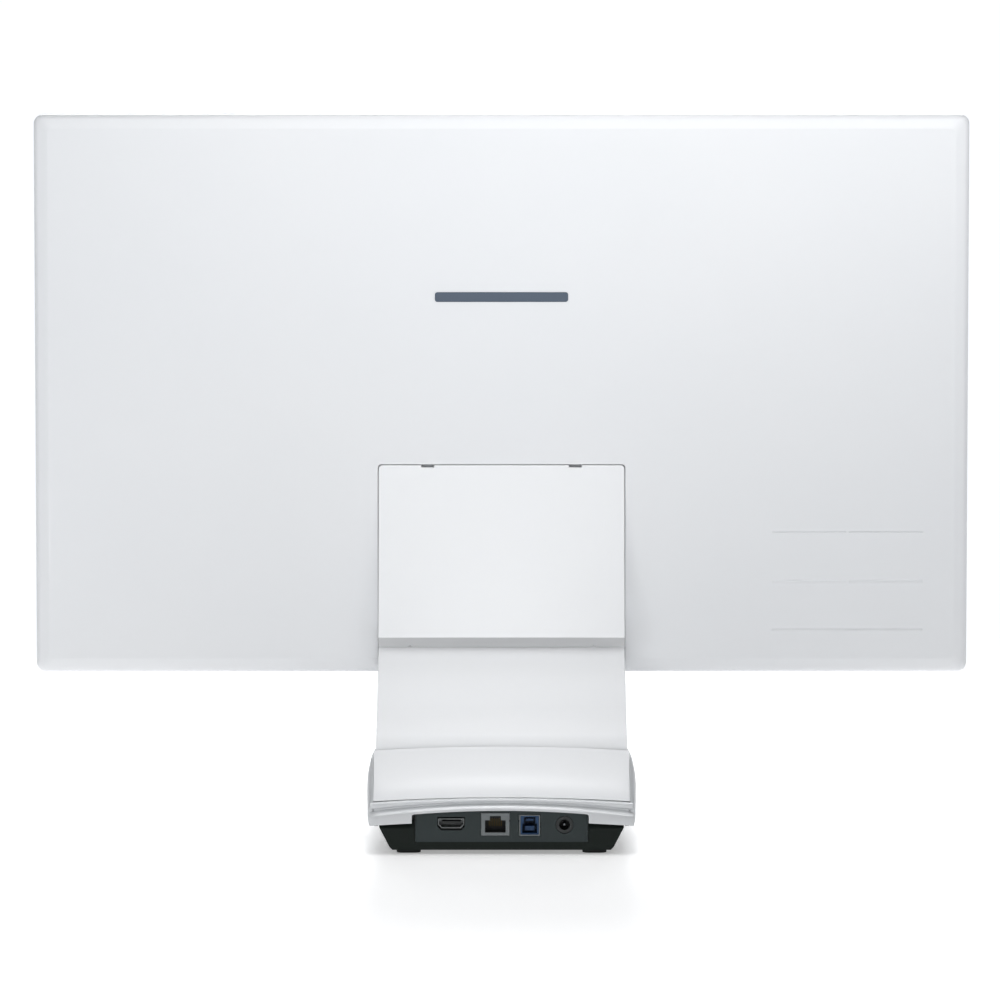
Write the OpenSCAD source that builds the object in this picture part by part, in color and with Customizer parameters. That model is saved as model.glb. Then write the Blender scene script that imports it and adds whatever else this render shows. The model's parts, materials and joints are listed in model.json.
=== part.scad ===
// Hub display for a desk: a flat screen head on a short wide neck, which folds on two hinges
// above a wedge-shaped base. The base holds the electronics and the sockets.
// +X is the viewer's right, -Y is the screen side, +Z is up. The base stands on Z = 0.

/* [Screen head] */
// Width of the screen head
head_w = 546; // [530:1:560]
// Height of the screen head
head_h = 326.6; // [320:0.2:334]
// Height of the head's lower edge above the desk
head_bottom = 100; // [98:1:104]
// Radius of the head's corners, seen from behind
head_corner = 7; // [5:1:10]
// Width of the picture
picture_w = 509.2; // [500:0.2:515]
// Height of the picture
picture_h = 286.4; // [280:0.2:290]
// Wall of the rear cover
head_wall = 2.2; // [1.8:0.1:2.6]

/* [Stand] */
// Width of the hinge cover on the head's back
cover_w = 144; // [142:0.5:144.5]
// How far the hinge cover's lower edge stands out of the head's back
cover_bulge = 17.5; // [17:0.5:19]
// Width of the neck
neck_w = 143; // [141:0.5:143.5]
// Radius of the round foot of the neck
barrel_r = 11; // [10.5:0.1:11]
// Radius of the four hinge shafts
shaft_r = 3; // [2.5:0.1:3.2]

/* [Base] */
// Depth of the base
base_d = 190; // [180:1:200]
// Width of the white top cover
top_w = 148.8; // [148:0.2:150]
// Largest width, across the side trims
base_w = 158; // [156:1:162]
// Height of the rubber feet
foot_h = 2.5; // [2:0.5:3]

/* [Hidden] */
$fn = 48;
e = 0.01;                        // small overrun of a cut

// Screen head
head_top = head_bottom + head_h;
head_mid = head_bottom + head_h / 2;
head_front = 6;                  // Y of the front of the rim
head_rear = 34;                  // Y of the flat back
bevel_start = 23;                // Y where the rim begins to round over to the back
bevel_in = 8;                    // how far the round-over reaches in from the outline
rim_gap = 0.2;                   // gap between the rim and the bezel in it
pocket_floor = 22.5;             // Y of the floor of the pocket that the neck folds into
pocket_wall = 1.6;
pocket_w = cover_w + 1.6;
bezel_t = 1.8;
bezel_front = head_front + 0.2;
glass_y = 8.1;                   // Y of the front of the panel stack
glass_t = 2;
guide_t = 3;
tray_t = 1;
tray_y = 13.7;                   // Y of the front of the tray's floor

// Hinge axes, as [Y, Z]
lower_axis = [55, 59.5];
upper_axis = [37, 113];
neck_len = norm(upper_axis - lower_axis);
neck_lean = atan2(lower_axis[0] - upper_axis[0], upper_axis[1] - lower_axis[1]);
eye_r = 5.5;                     // outer radius of the eyes at both hinges
bore_gap = 0.05;                 // radial running clearance of a shaft
ear_x = 42;                      // X of the inner face of the fixed eyes
ear_t = 5;
knuckle_x = 48.6;                // X of the inner face of the neck's knuckles
knuckle_t = 6.6;
neck_wall = 2;
neck_rear_u = 8;                 // how far the neck's back stands behind its centre plane
neck_front_u = 6.5;              // how far its front stands before that plane

// Hinge cover
cover_top = 221.8;
cover_edge = 122.5;              // Z of the cover's proudest line
cover_lip = 116.2;               // Z of the lower end of its lip
cover_wall = 2;
slot_x = 43.2;                   // X of the two release slots in its upper edge
slot_w = 7.6;

// Base
rear_y = base_d / 2;
front_y = -base_d / 2;
floor_t = 2;
cover_t = 2;
half_top = top_w / 2;
trim_gap = 0.2;
seam_z = 33.3;                   // Z of the seam between top cover and rear trim, at the middle
socket_r = barrel_r + 0.6;       // the top cover's clearance around the neck's round foot
hump_rear = [[66.6, 60], [rear_y - 1.4, seam_z - 1.5]];
hump_front = [[8, 23], [43.5, 58]];
hump_top = 60.1;                 // Z of the crest of the hump, at the middle
crown_r = 1300;                  // the hump and the rear trim fall away to the sides along this radius
window_r = 480;                  // radius of the upper edge of the opening over the sockets
window_top = 26;                 // and the height of its crest
screw_points = [[-36, -66], [36, -66], [-54, 20], [54, 20], [-34, 78], [34, 78]];
board_posts = [[-34, -12], [34, -12], [-34, 40], [34, 40]];
port_y = rear_y - 4;             // Y of the outer face of the port panel
panel_z = 7.3;                   // Z of its lower edge, on the rear wall of the tray
panel_top = 27.5;
board_z = 9.3;                   // Z of the underside of the main board
board_t = 1.6;
board_top = board_z + board_t;
hdmi_x = 29.2;
lan_x = 3.6;
usb_b_x = -16.3;
dc_x = -36.5;
hdmi_z = 18;
dc_z = 17.3;
usb_a_y = [14, 36];              // Y of the two side sockets
usb_a_z = 17.6;
usb_board_t = 1.6;
usb_board_z = usb_a_z - 2.8 - usb_board_t;
button_x = 57;
button_y = -76;
button_r = 5;
button_travel = 0.8;
badge_z = 320.3;
badge_h = 5.6;

// Points of an arc of radius r from a to b, with its centre on the left of the way from a to b
function arc(a, b, r, n = 12) =
  let (d = b - a, h = sqrt(r * r - d * d / 4), c = (a + b) / 2 + h * [-d[1], d[0]] / norm(d))
  let (s = atan2(a[1] - c[1], a[0] - c[0]), t = atan2(b[1] - c[1], b[0] - c[0]))
  let (turn = ((t - s) % 360 + 540) % 360 - 180)
  [for (i = [0:n]) c + r * [cos(s + turn * i / n), sin(s + turn * i / n)]];

// Points on a circle about c, from angle s to angle t
function sweep(c, r, s, t, n = 12) = [for (i = [0:n]) c + r * [cos(s + (t - s) * i / n), sin(s + (t - s) * i / n)]];

// A prism along X from x0 to x1, whose side view is a list of [Y, Z]
module side_prism(points, x0, x1) {
  translate([x0, 0, 0]) rotate([90, 0, 90]) linear_extrude(x1 - x0) polygon(points);
}

// A prism along Y from y0 to y1, whose view from the front is a list of [X, Z]
module front_prism(points, y0, y1) {
  translate([0, y1, 0]) rotate([90, 0, 0]) linear_extrude(y1 - y0) polygon(points);
}

module box(x0, x1, y0, y1, z0, z1) {
  translate([x0, y0, z0]) cube([x1 - x0, y1 - y0, z1 - z0]);
}

module rod_x(x0, x1, r, at) {
  translate([x0, at[0], at[1]]) rotate([0, 90, 0]) cylinder(r = r, h = x1 - x0);
}

module rod_y(y0, y1, r, x, z) {
  translate([x, y1, z]) rotate([90, 0, 0]) cylinder(r = r, h = y1 - y0);
}

module rounded_rect(w, h, r) {
  square([w - 2 * r, h], center = true);
  square([w, h - 2 * r], center = true);
  for (x = [-1, 1], y = [-1, 1]) translate([x * (w / 2 - r), y * (h / 2 - r)]) circle(r);
}

// A slab in the plane of the screen, from y0 to y1, centred on x and z
module slab(w, h, r, y0, y1, x = 0, z = head_mid) {
  translate([x, y1, z]) rotate([90, 0, 0]) linear_extrude(y1 - y0) rounded_rect(w, h, r);
}

module both_sides() {
  children();
  mirror([1, 0, 0]) children();
}

// A machine screw along +Z: its head stands below z = 0 and its shank above
module screw_up(r, head_r, head_h, length) {
  difference() {
    translate([0, 0, -head_h]) cylinder(r = head_r, h = head_h);
    for (a = [0, 90]) rotate(a) translate([-head_r * 0.6, -0.3, -head_h - e]) cube([head_r * 1.2, 0.6, head_h / 2]);
  }
  cylinder(r = r, h = length);
}

// ---------- Screen head ----------

module head_outline() {
  hull() {
    slab(head_w, head_h, head_corner, head_front, bevel_start);
    slab(head_w - 3, head_h - 3, head_corner - 1.5, bevel_start, head_rear - 4);
    slab(head_w - 2 * bevel_in, head_h - 2 * bevel_in, 3, head_rear - 1, head_rear);
  }
}

module label_grooves() {
  x0 = -246.9;
  x1 = -158.4;
  mid = (x0 + x1) / 2;
  rib = 0.8;
  step = 0.7;
  y = head_rear + e;
  // upper step, middle groove and lower step, each a shallow wedge in the back
  for (part = [[x0, mid - rib], [mid + rib, x1]]) {
    side_prism([[y, 183.4], [y - step, 183.1], [y, 180.6]], part[0], part[1]);
    side_prism([[y, 154], [y - step, 153.4], [y, 152.6]], part[0], part[1]);
  }
  side_prism([[y, 126.2], [y - step, 123.5], [y, 123.1]], x0, x1);
}

module rear_cover() {
  color("gainsboro") difference() {
    union() {
      difference() {
        head_outline();
        slab(head_w - 2 * head_wall, head_h - 2 * head_wall, head_corner - head_wall, head_front - e, bevel_start);
        slab(head_w - 2 * bevel_in, head_h - 2 * bevel_in, 3, bevel_start - 1, head_rear - head_wall);
      }
      box(-pocket_w / 2 - pocket_wall, pocket_w / 2 + pocket_wall, pocket_floor - pocket_wall, head_rear - e,
          head_bottom + head_wall, cover_top + 0.8 + pocket_wall);
    }
    box(-pocket_w / 2, pocket_w / 2, pocket_floor, head_rear + 1, head_bottom - 1, cover_top + 0.8);
    label_grooves();
    slab(78, badge_h + 0.2, 1.5, head_rear - 0.6, head_rear + 1, 0, badge_z);
    for (x = [-50, 50], z = [140, 200]) rod_y(pocket_floor - 3, pocket_floor + 1, 2.1, x, z);
  }
}

module badge() {
  color("dimgray") slab(77.8, badge_h, 1.4, head_rear - 0.6, head_rear + 0.2, 0, badge_z);
}

function cover_y(z) = head_rear + cover_bulge * pow((cover_top - z) / (cover_top - cover_edge), 1.6);

cover_rows = 14;
cover_curve = [for (i = [0:cover_rows]) let (z = cover_top + (cover_edge - cover_top) * i / cover_rows) [cover_y(z), z]];
lip_end = [head_rear + cover_bulge - 3.2, cover_lip];

module hinge_cover() {
  inner = [for (p = cover_curve) if (p[1] < cover_top - cover_wall && p[1] > cover_edge) [p[0] - cover_wall, p[1]]];
  inner_lip = [[head_rear + cover_bulge - cover_wall - 0.2, cover_edge], [lip_end[0] - 1.6, cover_lip - 1]];
  foot = pocket_floor;
  color("whitesmoke") difference() {
    side_prism(concat([[foot, cover_top]], cover_curve, [lip_end, [foot, cover_lip]]), -cover_w / 2, cover_w / 2);
    side_prism(concat([[foot - 1, cover_top - cover_wall]], [[cover_y(cover_top - cover_wall) - cover_wall, cover_top - cover_wall]],
                      inner, inner_lip, [[foot - 1, cover_lip - 1]]),
               -cover_w / 2 + cover_wall, cover_w / 2 - cover_wall);
    // the sides stop above the neck's head, which turns between them
    intersection() {
      side_prism(concat([[foot - 1, cover_edge + 3]], [[head_rear + cover_bulge - cover_wall - 0.6, cover_edge + 3]], inner_lip,
                        [[foot - 1, cover_lip - 1]]), -cover_w, cover_w);
      rod_x(-cover_w, cover_w, 40, upper_axis);
    }
    for (x = [-slot_x, slot_x]) box(x - slot_w / 2, x + slot_w / 2, head_rear - 5, head_rear + 2, cover_top - 1.4, cover_top + 1);
    for (x = [-53.5, 53.5]) box(x - 0.8, x + 0.8, head_rear, head_rear + 30, cover_lip - 1, cover_lip + 0.9);
  }
}

module front_bezel() {
  color("black") difference() {
    slab(head_w - 2 * (head_wall + rim_gap), head_h - 2 * (head_wall + rim_gap), head_corner - head_wall - rim_gap,
         bezel_front, bezel_front + bezel_t);
    slab(picture_w + 0.6, picture_h + 0.6, 0.5, bezel_front - 1, bezel_front + bezel_t + 1);
  }
}

module lcd_cell() {
  color("midnightblue") slab(picture_w + 6, picture_h + 6, 0.5, glass_y, glass_y + glass_t);
}

module light_guide() {
  color("azure") box(-picture_w / 2 - 2, picture_w / 2 + 2, glass_y + glass_t + 0.3, glass_y + glass_t + 0.3 + guide_t,
                     head_mid - picture_h / 2 - 1, head_mid + picture_h / 2 + 3);
}

module led_bar() {
  z = head_mid - picture_h / 2 - 3.2;
  color("khaki") {
    box(-250, 250, glass_y + glass_t + 0.5, tray_y - 0.4, z, z + 1);
    for (i = [0:49]) box(-247 + i * 10, -244 + i * 10, glass_y + glass_t + 0.9, tray_y - 0.8, z + 1, z + 1.7);
  }
}

module backlight_tray() {
  w = picture_w + 10.4;
  h = picture_h + 10.4;
  color("silver") difference() {
    union() {
      slab(w + 2 * tray_t, h + 2 * tray_t, 1.5, glass_y, tray_y + tray_t);
      for (x = [-50, 50], z = [140, 200]) rod_y(tray_y + tray_t - e, pocket_floor - pocket_wall, 4, x, z);
    }
    slab(w, h, 0.5, glass_y - 1, tray_y);
    for (x = [-50, 50], z = [140, 200]) rod_y(tray_y + tray_t + 1, pocket_floor, 1.85, x, z);
  }
}

module timing_board() {
  y = tray_y + tray_t;
  color("seagreen") box(-90, 90, y + e, y + 1.2, 290, 330);
  color("dimgray") {
    box(-12, 12, y + 1.2, y + 2.6, 300, 322);
    for (x = [-60, 52]) box(x, x + 18, y + 1.2, y + 3.4, 292, 297);
  }
}

module head_bracket() {
  color("silver") difference() {
    union() {
      box(-62, 62, pocket_floor, pocket_floor + 2, 105, 212);
      both_sides() {
        box(ear_x, ear_x + ear_t, pocket_floor + 1, upper_axis[0], upper_axis[1] - eye_r, upper_axis[1] + eye_r);
        rod_x(ear_x, ear_x + ear_t, eye_r, upper_axis);
      }
    }
    both_sides() rod_x(ear_x - 1, ear_x + ear_t + 1, shaft_r + bore_gap, upper_axis);
    for (x = [-50, 50], z = [140, 200]) rod_y(pocket_floor - 1, pocket_floor + 3, 2.1, x, z);
    slab(60, 40, 4, pocket_floor - 1, pocket_floor + 3, 0, 170);
  }
}

module head_bracket_screws() {
  color("darkgray") for (x = [-50, 50], z = [140, 200])
    translate([x, pocket_floor + 2, z]) rotate([90, 0, 0]) screw_up(1.8, 3.6, 1.9, 8.5);
}

// ---------- Neck, in its own frame: the upper axis at the origin, down the neck is -Z, its back is +Y ----------

module in_neck() {
  translate([0, upper_axis[0], upper_axis[1]]) rotate([neck_lean, 0, 0]) children();
}

foot_axis = [0, -neck_len];
flare_from = 36;                 // distance down the neck where its back begins to flare
flare_angle = 20;                // slope at which the flare meets the round foot
flare_r = 48;
front_top = 7;                   // the front cover begins this far below the upper axis
front_end = 32;                  // and is flat down to here
front_meet = 148;                // angle on the round foot where the neck's front meets it
foot_open = [-50, 194];          // the round foot is open below, between these angles
split = 0.15;                    // each half shell stops this far from the centre plane
foot_w = neck_w + 3.4;           // the neck widens towards its foot
neck_bosses = [[-40, -14], [40, -14], [-40, -32.5], [40, -32.5]];

// Side view of the neck's skin as [Y, Z], inset by t; the inside is open a little less far round the foot
function neck_outline(t) = let (open = t > 0 ? foot_open + [1, -1] : foot_open) concat(
  t > 0 ? [[0, 2 * neck_rear_u]] : [],
  sweep([0, 0], neck_rear_u - t, 90, 0),
  arc([neck_rear_u - 0.6 - t, -flare_from],
      foot_axis + (barrel_r - t) * [cos(flare_angle), sin(flare_angle)], flare_r + t, 8),
  sweep(foot_axis, barrel_r - t, flare_angle - 4, open[0]),
  t > 0 ? [for (a = open) foot_axis + 2 * barrel_r * [cos(a), sin(a)]] : [],
  sweep(foot_axis, barrel_r - t, open[1], front_meet),
  [[t - neck_front_u, -front_end], [t - neck_front_u, t > 0 ? 2 * neck_rear_u : -front_top]]);

module neck_solid(t) {
  intersection() {
    side_prism(neck_outline(t), -foot_w, foot_w);
    front_prism([[t - neck_w / 2, 20], [neck_w / 2 - t, 20], [foot_w / 2 - t, -neck_len - 2 * barrel_r],
                 [t - foot_w / 2, -neck_len - 2 * barrel_r]], -2 * barrel_r, 2 * barrel_r);
  }
}

// One half of the neck's shell: behind the centre plane for side = 1, before it for side = -1
module half_shell(side) {
  difference() {
    neck_solid(0);
    neck_solid(neck_wall);
    translate([-foot_w, side > 0 ? -50 + split : -split, -neck_len - 30]) cube([2 * foot_w, 50, 120]);
  }
}

module neck_rear_cover() {
  color("whitesmoke") in_neck() {
    difference() {
      half_shell(1);
      // the ears of the head's bracket swing through these slots
      both_sides() box(ear_x - 1, ear_x + ear_t + 1, -1, 3.6, 3, neck_rear_u + 1);
    }
    difference() {
      for (p = neck_bosses) rod_y(1.5, neck_rear_u - neck_wall + 0.1, 3.2, p[0], p[1]);
      for (p = neck_bosses) rod_y(1, 5.5, 1.55, p[0], p[1]);
    }
  }
}

module neck_front_cover() {
  color("whitesmoke") in_neck() difference() {
    half_shell(-1);
    translate([-foot_w, -50, -front_top]) cube([2 * foot_w, 100, 50]);
  }
}

module neck_frame() {
  color("silver") in_neck() difference() {
    union() {
      box(-58, 58, -1.5, 1.5, -neck_len + 9, -9);
      both_sides() {
        for (z = [0, -neck_len]) rod_x(knuckle_x, knuckle_x + knuckle_t, eye_r, [0, z]);
        box(knuckle_x, knuckle_x + knuckle_t, -1.5, 1.5, -10, 0);
        box(knuckle_x, knuckle_x + knuckle_t, -1.5, 1.5, -neck_len, -neck_len + 10);
      }
    }
    both_sides() for (z = [0, -neck_len]) rod_x(knuckle_x - 1, knuckle_x + knuckle_t + 1, shaft_r + e, [0, z]);
    for (p = neck_bosses) rod_y(-2, 2, 1.7, p[0], p[1]);
    for (x = [-30, 20]) box(x, x + 10, -2, 2, -neck_len + 16, -14);
  }
}

module neck_screws() {
  color("darkgray") in_neck() for (p = neck_bosses)
    translate([p[0], -1.5, p[1]]) rotate([-90, 0, 0]) screw_up(1.5, 2.8, 1.6, 6.6);
}

module neck_cable() {
  // a flat harness on the front of the neck's frame
  color("black") in_neck() box(-14, 14, -2.7, -1.5, -neck_len + 4, -4);
}

// The shafts at one hinge, in the neck's frame: a stepped pin, its washers and its nut on each side
module shafts(z) {
  both_sides() {
    rod_x(32, knuckle_x + knuckle_t, shaft_r, [0, z]);
    rod_x(knuckle_x + knuckle_t, knuckle_x + knuckle_t + 1.6, shaft_r + 1.6, [0, z]);
  }
}

module ring_x(x0, x1, r, z) {
  difference() {
    rod_x(x0, x1, r, [0, z]);
    rod_x(x0 - 1, x1 + 1, shaft_r + 0.02, [0, z]);
  }
}

module washers(z) {
  both_sides() {
    ring_x(ear_x + ear_t + 0.3, ear_x + ear_t + 0.8, eye_r - 0.3, z);
    ring_x(ear_x + ear_t + 0.95, ear_x + ear_t + 1.4, eye_r - 0.6, z);
    for (i = [0:2]) ring_x(ear_x - 1.2 - i, ear_x - 0.4 - i, eye_r - 0.6, z);
  }
}

module nuts(z) {
  both_sides() difference() {
    translate([33.8, 0, z]) rotate([0, 90, 0]) cylinder(r = eye_r, h = 4.4, $fn = 6);
    rod_x(32, 40, shaft_r + 0.02, [0, z]);
  }
}

module lower_hinge_shafts() color("darkgray") in_neck() shafts(-neck_len);
module lower_hinge_washers() color("goldenrod") in_neck() washers(-neck_len);
module lower_hinge_nuts() color("gray") in_neck() nuts(-neck_len);
module upper_hinge_shafts() color("darkgray") in_neck() shafts(0);
module upper_hinge_washers() color("goldenrod") in_neck() washers(0);
module upper_hinge_nuts() color("gray") in_neck() nuts(0);

// ---------- Base ----------

// The lower edge of the white and silver shells rises from front to back
function shell_bottom(y) = 8 + (y - front_y) * 6 / base_d;
// Height of the sloping deck in front of the neck

function deck_z(y) = 13.9 + (y - front_y - 6.5) * (hump_front[0][1] - 13.9) / (hump_front[0][0] - front_y - 6.5);
strip_z = 14.1;                  // Z of the floor under the touch strip
profile = concat(
  [[front_y + 3, shell_bottom(front_y + 3)], [front_y + 3, 10.6], [front_y + 4, 12.6], [front_y + 6.5, 13.9]],
  arc(hump_front[0], hump_front[1], 39),
  arc(hump_rear[0], hump_rear[1], 48.5),
  [[rear_y - 1.4, shell_bottom(rear_y)]]);
inner_profile = concat(
  [[front_y + 5.2, 0], [front_y + 5.2, 11.2], [front_y + 7.5, 12]],
  arc(hump_front[0] + [0.5, -cover_t], hump_front[1] + [2, -2], 39),
  arc(hump_rear[0] + [-2.2, -2], hump_rear[1] + [-1.5, -2.4], 48.5),
  [[rear_y - 3.4, 0]]);

// Plan of the white cover, with large round corners in front and small ones behind
module cover_plan(inset = 0) {
  w = half_top - inset;
  y0 = front_y + 3 + inset;
  y1 = rear_y - 1.4 - inset;
  r0 = 12;
  r1 = 2.5;
  translate([r0 - w, y0]) square([2 * (w - r0), y1 - y0]);
  translate([-w, y0 + r0]) square([2 * w, y1 - y0 - r0 - r1]);
  translate([r1 - w, y0 + r0]) square([2 * (w - r1), y1 - y0 - r0]);
  for (x = [-1, 1]) {
    translate([x * (w - r0), y0 + r0]) circle(r0);
    translate([x * (w - r1), y1 - r1]) circle(r1);
  }
}

// Plan of the whole base with its trims
module base_plan() {
  // slightly bowed sides, widest a little behind the middle
  a = [half_top + 0.2, front_y + 14];
  b = [half_top + 2, rear_y];
  bow = base_w / 2 - (a[0] + b[0]) / 2;
  side = arc(a, b, norm(b - a) * norm(b - a) / (8 * bow), 20);
  corner = sweep([a[0] - 14, a[1]], 14, -90, 0, 8);
  half = concat(corner, side);
  polygon(concat(half, [for (i = [len(half) - 1:-1:0]) [-half[i][0], half[i][1]]]));
}

module socket_cut(gap = 0) {
  rod_x(-half_top - 20, half_top + 20, socket_r + gap, lower_axis);
}

usb_a_w = 13.4;
usb_a_h = 5.8;

module usb_a_holes(grow) {
  for (y = usb_a_y) box(60, 90, y - usb_a_w / 2 - grow, y + usb_a_w / 2 + grow,
                        usb_a_z - usb_a_h / 2 - grow, usb_a_z + usb_a_h / 2 + grow);
}

// A very large roller along Y whose crest is at height z: it gives the crown of the hump and the trim
module crown(z, y0, y1, r = crown_r) {
  translate([0, y1, z - r]) rotate([90, 0, 0]) cylinder(r = r, h = y1 - y0, $fn = 720);
}

module base_top_cover() {
  color("whitesmoke") difference() {
    intersection() {
      side_prism(profile, -half_top, half_top);
      linear_extrude(80) cover_plan();
      crown(hump_top, front_y, rear_y);
    }
    intersection() {
      side_prism(inner_profile, -half_top + cover_t, half_top - cover_t);
      linear_extrude(80) cover_plan(cover_t);
    }
    socket_cut();
    box(-half_top - 1, half_top + 1, lower_axis[0] - 9.5, lower_axis[0] + 10, lower_axis[1] - 4, lower_axis[1] + 20);
    // openings for the sockets, the touch strip and the power button
    intersection() {
      box(-half_top - 1, half_top + 1, rear_y - 12, rear_y + 1, 0, seam_z + 1);
      crown(seam_z, rear_y - 13, rear_y + 2);
    }
    usb_a_holes(0.3);
    box(-44, 44, button_y - 4.2, button_y + 4.2, strip_z, 30);
    translate([button_x, button_y, 5]) cylinder(r = button_r + 0.15, h = 20);
  }
}

module touch_strip() {
  color("black") side_prism([[button_y - 4, strip_z], [button_y + 4, strip_z], [button_y + 4, deck_z(button_y + 4)],
                             [button_y - 4, deck_z(button_y - 4)]], -43.8, 43.8);
}

// The silver band around the base. It bulges a little at mid height.
band_side = [[half_top, 56], [half_top + 3, 46], [base_w / 2, 34], [base_w / 2, 22], [base_w / 2 - 1.8, 8]];
band_profile = concat(
  [[front_y, shell_bottom(front_y) + 0.2], [front_y, 11.2], [front_y + 3, 12.4]],
  arc(hump_front[0] - [0, 1.5], hump_front[1] - [0, 2], 39), [[66, 56]],
  arc(hump_rear[0] - [1, 4], [rear_y, seam_z - 3.6], 48.5), [[rear_y, 14.4]]);

module trim_band() {
  difference() {
    intersection() {
      linear_extrude(80) base_plan();
      side_prism(band_profile, -90, 90);
      front_prism(concat(band_side, [for (i = [len(band_side) - 1:-1:0]) [-band_side[i][0], band_side[i][1]]]),
                  front_y - 1, rear_y + 1);
    }
    translate([0, 0, -1]) linear_extrude(90) cover_plan(-trim_gap);
    socket_cut(0.4);
  }
}

module side_band() {
  intersection() {
    trim_band();
    box(half_top + trim_gap, 100, front_y + 14, rear_y - 2.6, 0, 80);
  }
}

module side_trim_left() color("silver") mirror([1, 0, 0]) side_band();

module side_trim_right() color("silver") difference() {
  side_band();
  usb_a_holes(0);
}

module front_trim() {
  color("silver") intersection() {
    trim_band();
    box(-100, 100, front_y - 1, front_y + 13.8, 0, 80);
  }
}

// The lip over the sockets, with a groove along it. It is turned about a far axis to give it its crown.
lip = [[-11, -0.3], [-1.9, -0.3], [-0.9, -0.7], [-0.9, -1.6], [-1.9, -2.2], [-2, -3.2], [-0.6, -5.2], [0, -6.6],
       [0, -13.6], [-2.3, -13.6], [-2.6, -6], [-3.6, -2.6], [-11, -2.6]];

module rear_trim() {
  half_turn = 4;
  color("gainsboro") difference() {
    intersection() {
      translate([0, 0, seam_z - crown_r]) rotate([-90, 0, 0]) rotate([0, 0, -90 - half_turn])
        rotate_extrude(angle = 2 * half_turn, $fn = 720)
          polygon([for (p = lip) [crown_r + p[1], rear_y + p[0]]]);
      union() {
        box(-half_top + 0.2, half_top - 0.2, rear_y - 12, rear_y + 1, 0, 60);
        box(-half_top - 1.8, half_top + 1.8, rear_y - 2.4, rear_y + 1, 0, 60);
      }
    }
    // the opening over the sockets, stepped at its corners
    intersection() {
      box(-50.5, 52, rear_y - 12, rear_y + 1, 0, 40);
      crown(window_top, rear_y - 13, rear_y + 2, window_r);
    }
    box(-52.5, 54, rear_y - 12, rear_y + 1, 0, 19.2);
  }
}

// The black tray: slanted walls all round. The hollow in it has t > 0 and runs out of its top.
module tray_solid(t, z0) {
  top = t > 0 ? 30 : 0;
  wall = [[63.4, z0], [65, max(z0, 4.1)], [71, 15.6], [71, 20 + top]];
  intersection() {
    front_prism(concat([for (p = wall) [p[0] - t, p[1]]],
                       [for (i = [len(wall) - 1:-1:0]) [t - wall[i][0], wall[i][1]]]), -100, 100);
    side_prism([[front_y + 10 + t, z0], [rear_y - 5.2 - t, z0], [rear_y - 5.2 - t, 15], [rear_y - 7.5 - t, 20],
                [rear_y - 15, 20 + top], [rear_y - 20, shell_bottom(rear_y - 20) - 0.2 + top],
                [front_y + 6 + t, shell_bottom(front_y + 6) - 0.3 + top], [front_y + 6 + t, shell_bottom(front_y + 6) - 0.3]],
               -90, 90);
  }
}

plate_z = foot_h + floor_t + 1;  // Z of the underside of the steel frame
plate_t = 1.5;
speaker_x = 40;
speaker_y = -40;

module base_chassis() {
  color([0.06, 0.07, 0.07]) difference() {
    union() {
      difference() {
        tray_solid(0, foot_h);
        tray_solid(floor_t, foot_h + floor_t);
        box(-90, 90, front_y, rear_y - 16, shell_bottom(rear_y - 16) - 0.2, 40);
      }
      // posts that carry the frame
      for (p = screw_points) translate([p[0], p[1], foot_h + 1]) cylinder(r = 4, h = plate_z - foot_h - 1);
    }
    box(-50.2, 50.2, rear_y - 12, rear_y + 1, panel_z - 0.1, 30);
    for (p = screw_points) translate([p[0], p[1], 0]) {
      cylinder(r = 1.7, h = 20);
      cylinder(r = 3.2, h = foot_h + 0.8);
    }
    // slots under the speakers
    for (s = [-1, 1], i = [-3:3]) box(s * speaker_x - 7, s * speaker_x + 7, speaker_y + i * 4 - 0.8, speaker_y + i * 4 + 0.8, 0, 10);
  }
}

module base_frame() {
  color("silver") difference() {
    union() {
      box(-60, 60, -72, 82, plate_z, plate_z + plate_t);
      for (p = board_posts) translate([p[0], p[1], plate_z]) cylinder(r = 3, h = board_z - plate_z);
      for (y = [usb_a_y[0] - 7, usb_a_y[1] + 7]) translate([58, y, plate_z]) cylinder(r = 2, h = usb_board_z - plate_z);
    }
    for (p = screw_points) translate([p[0], p[1], 0]) cylinder(r = 1.55, h = 20);
    for (p = board_posts) translate([p[0], p[1], plate_z + plate_t]) cylinder(r = 1.25, h = 20);
    for (x = [ear_x + 9, -ear_x - 9], y = [50, 60]) translate([x, y, 0]) cylinder(r = 1.65, h = 20);
    for (s = [-1, 1]) box(s * speaker_x - 10, s * speaker_x + 10, speaker_y - 19, speaker_y + 19, 0, 20);
  }
}

// A steel upright with the eye of the lower hinge
module hinge_bracket() {
  z = plate_z + plate_t;
  difference() {
    union() {
      box(ear_x, ear_x + ear_t, 45, 65, z + e, z + 14);
      side_prism([[47, z + 13], [63, z + 13], [lower_axis[0] + 4, lower_axis[1] - 8], [lower_axis[0] + 4, lower_axis[1]],
                  [lower_axis[0] - 4, lower_axis[1]], [lower_axis[0] - 4, lower_axis[1] - 8]], ear_x, ear_x + ear_t);
      rod_x(ear_x, ear_x + ear_t, eye_r, lower_axis);
      box(ear_x, ear_x + 13, 45, 65, z + e, z + 3);
    }
    rod_x(ear_x - 1, ear_x + ear_t + 1, shaft_r + bore_gap, lower_axis);
    for (y = [50, 60]) translate([ear_x + 9, y, 0]) cylinder(r = 1.7, h = 40);
  }
}

module hinge_bracket_right() color("slategray") hinge_bracket();
module hinge_bracket_left() color("slategray") mirror([1, 0, 0]) hinge_bracket();

module frame_screws() {
  z = plate_z + plate_t + 3;
  color("darkgray") both_sides() for (y = [50, 60])
    translate([ear_x + 9, y, z]) rotate([180, 0, 0]) screw_up(1.6, 2.9, 1.8, 4.4);
}

module base_screws() {
  color("darkgray") for (p = screw_points) translate([p[0], p[1], foot_h + 0.8]) screw_up(1.5, 2.9, 0.7, 4);
}

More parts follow.
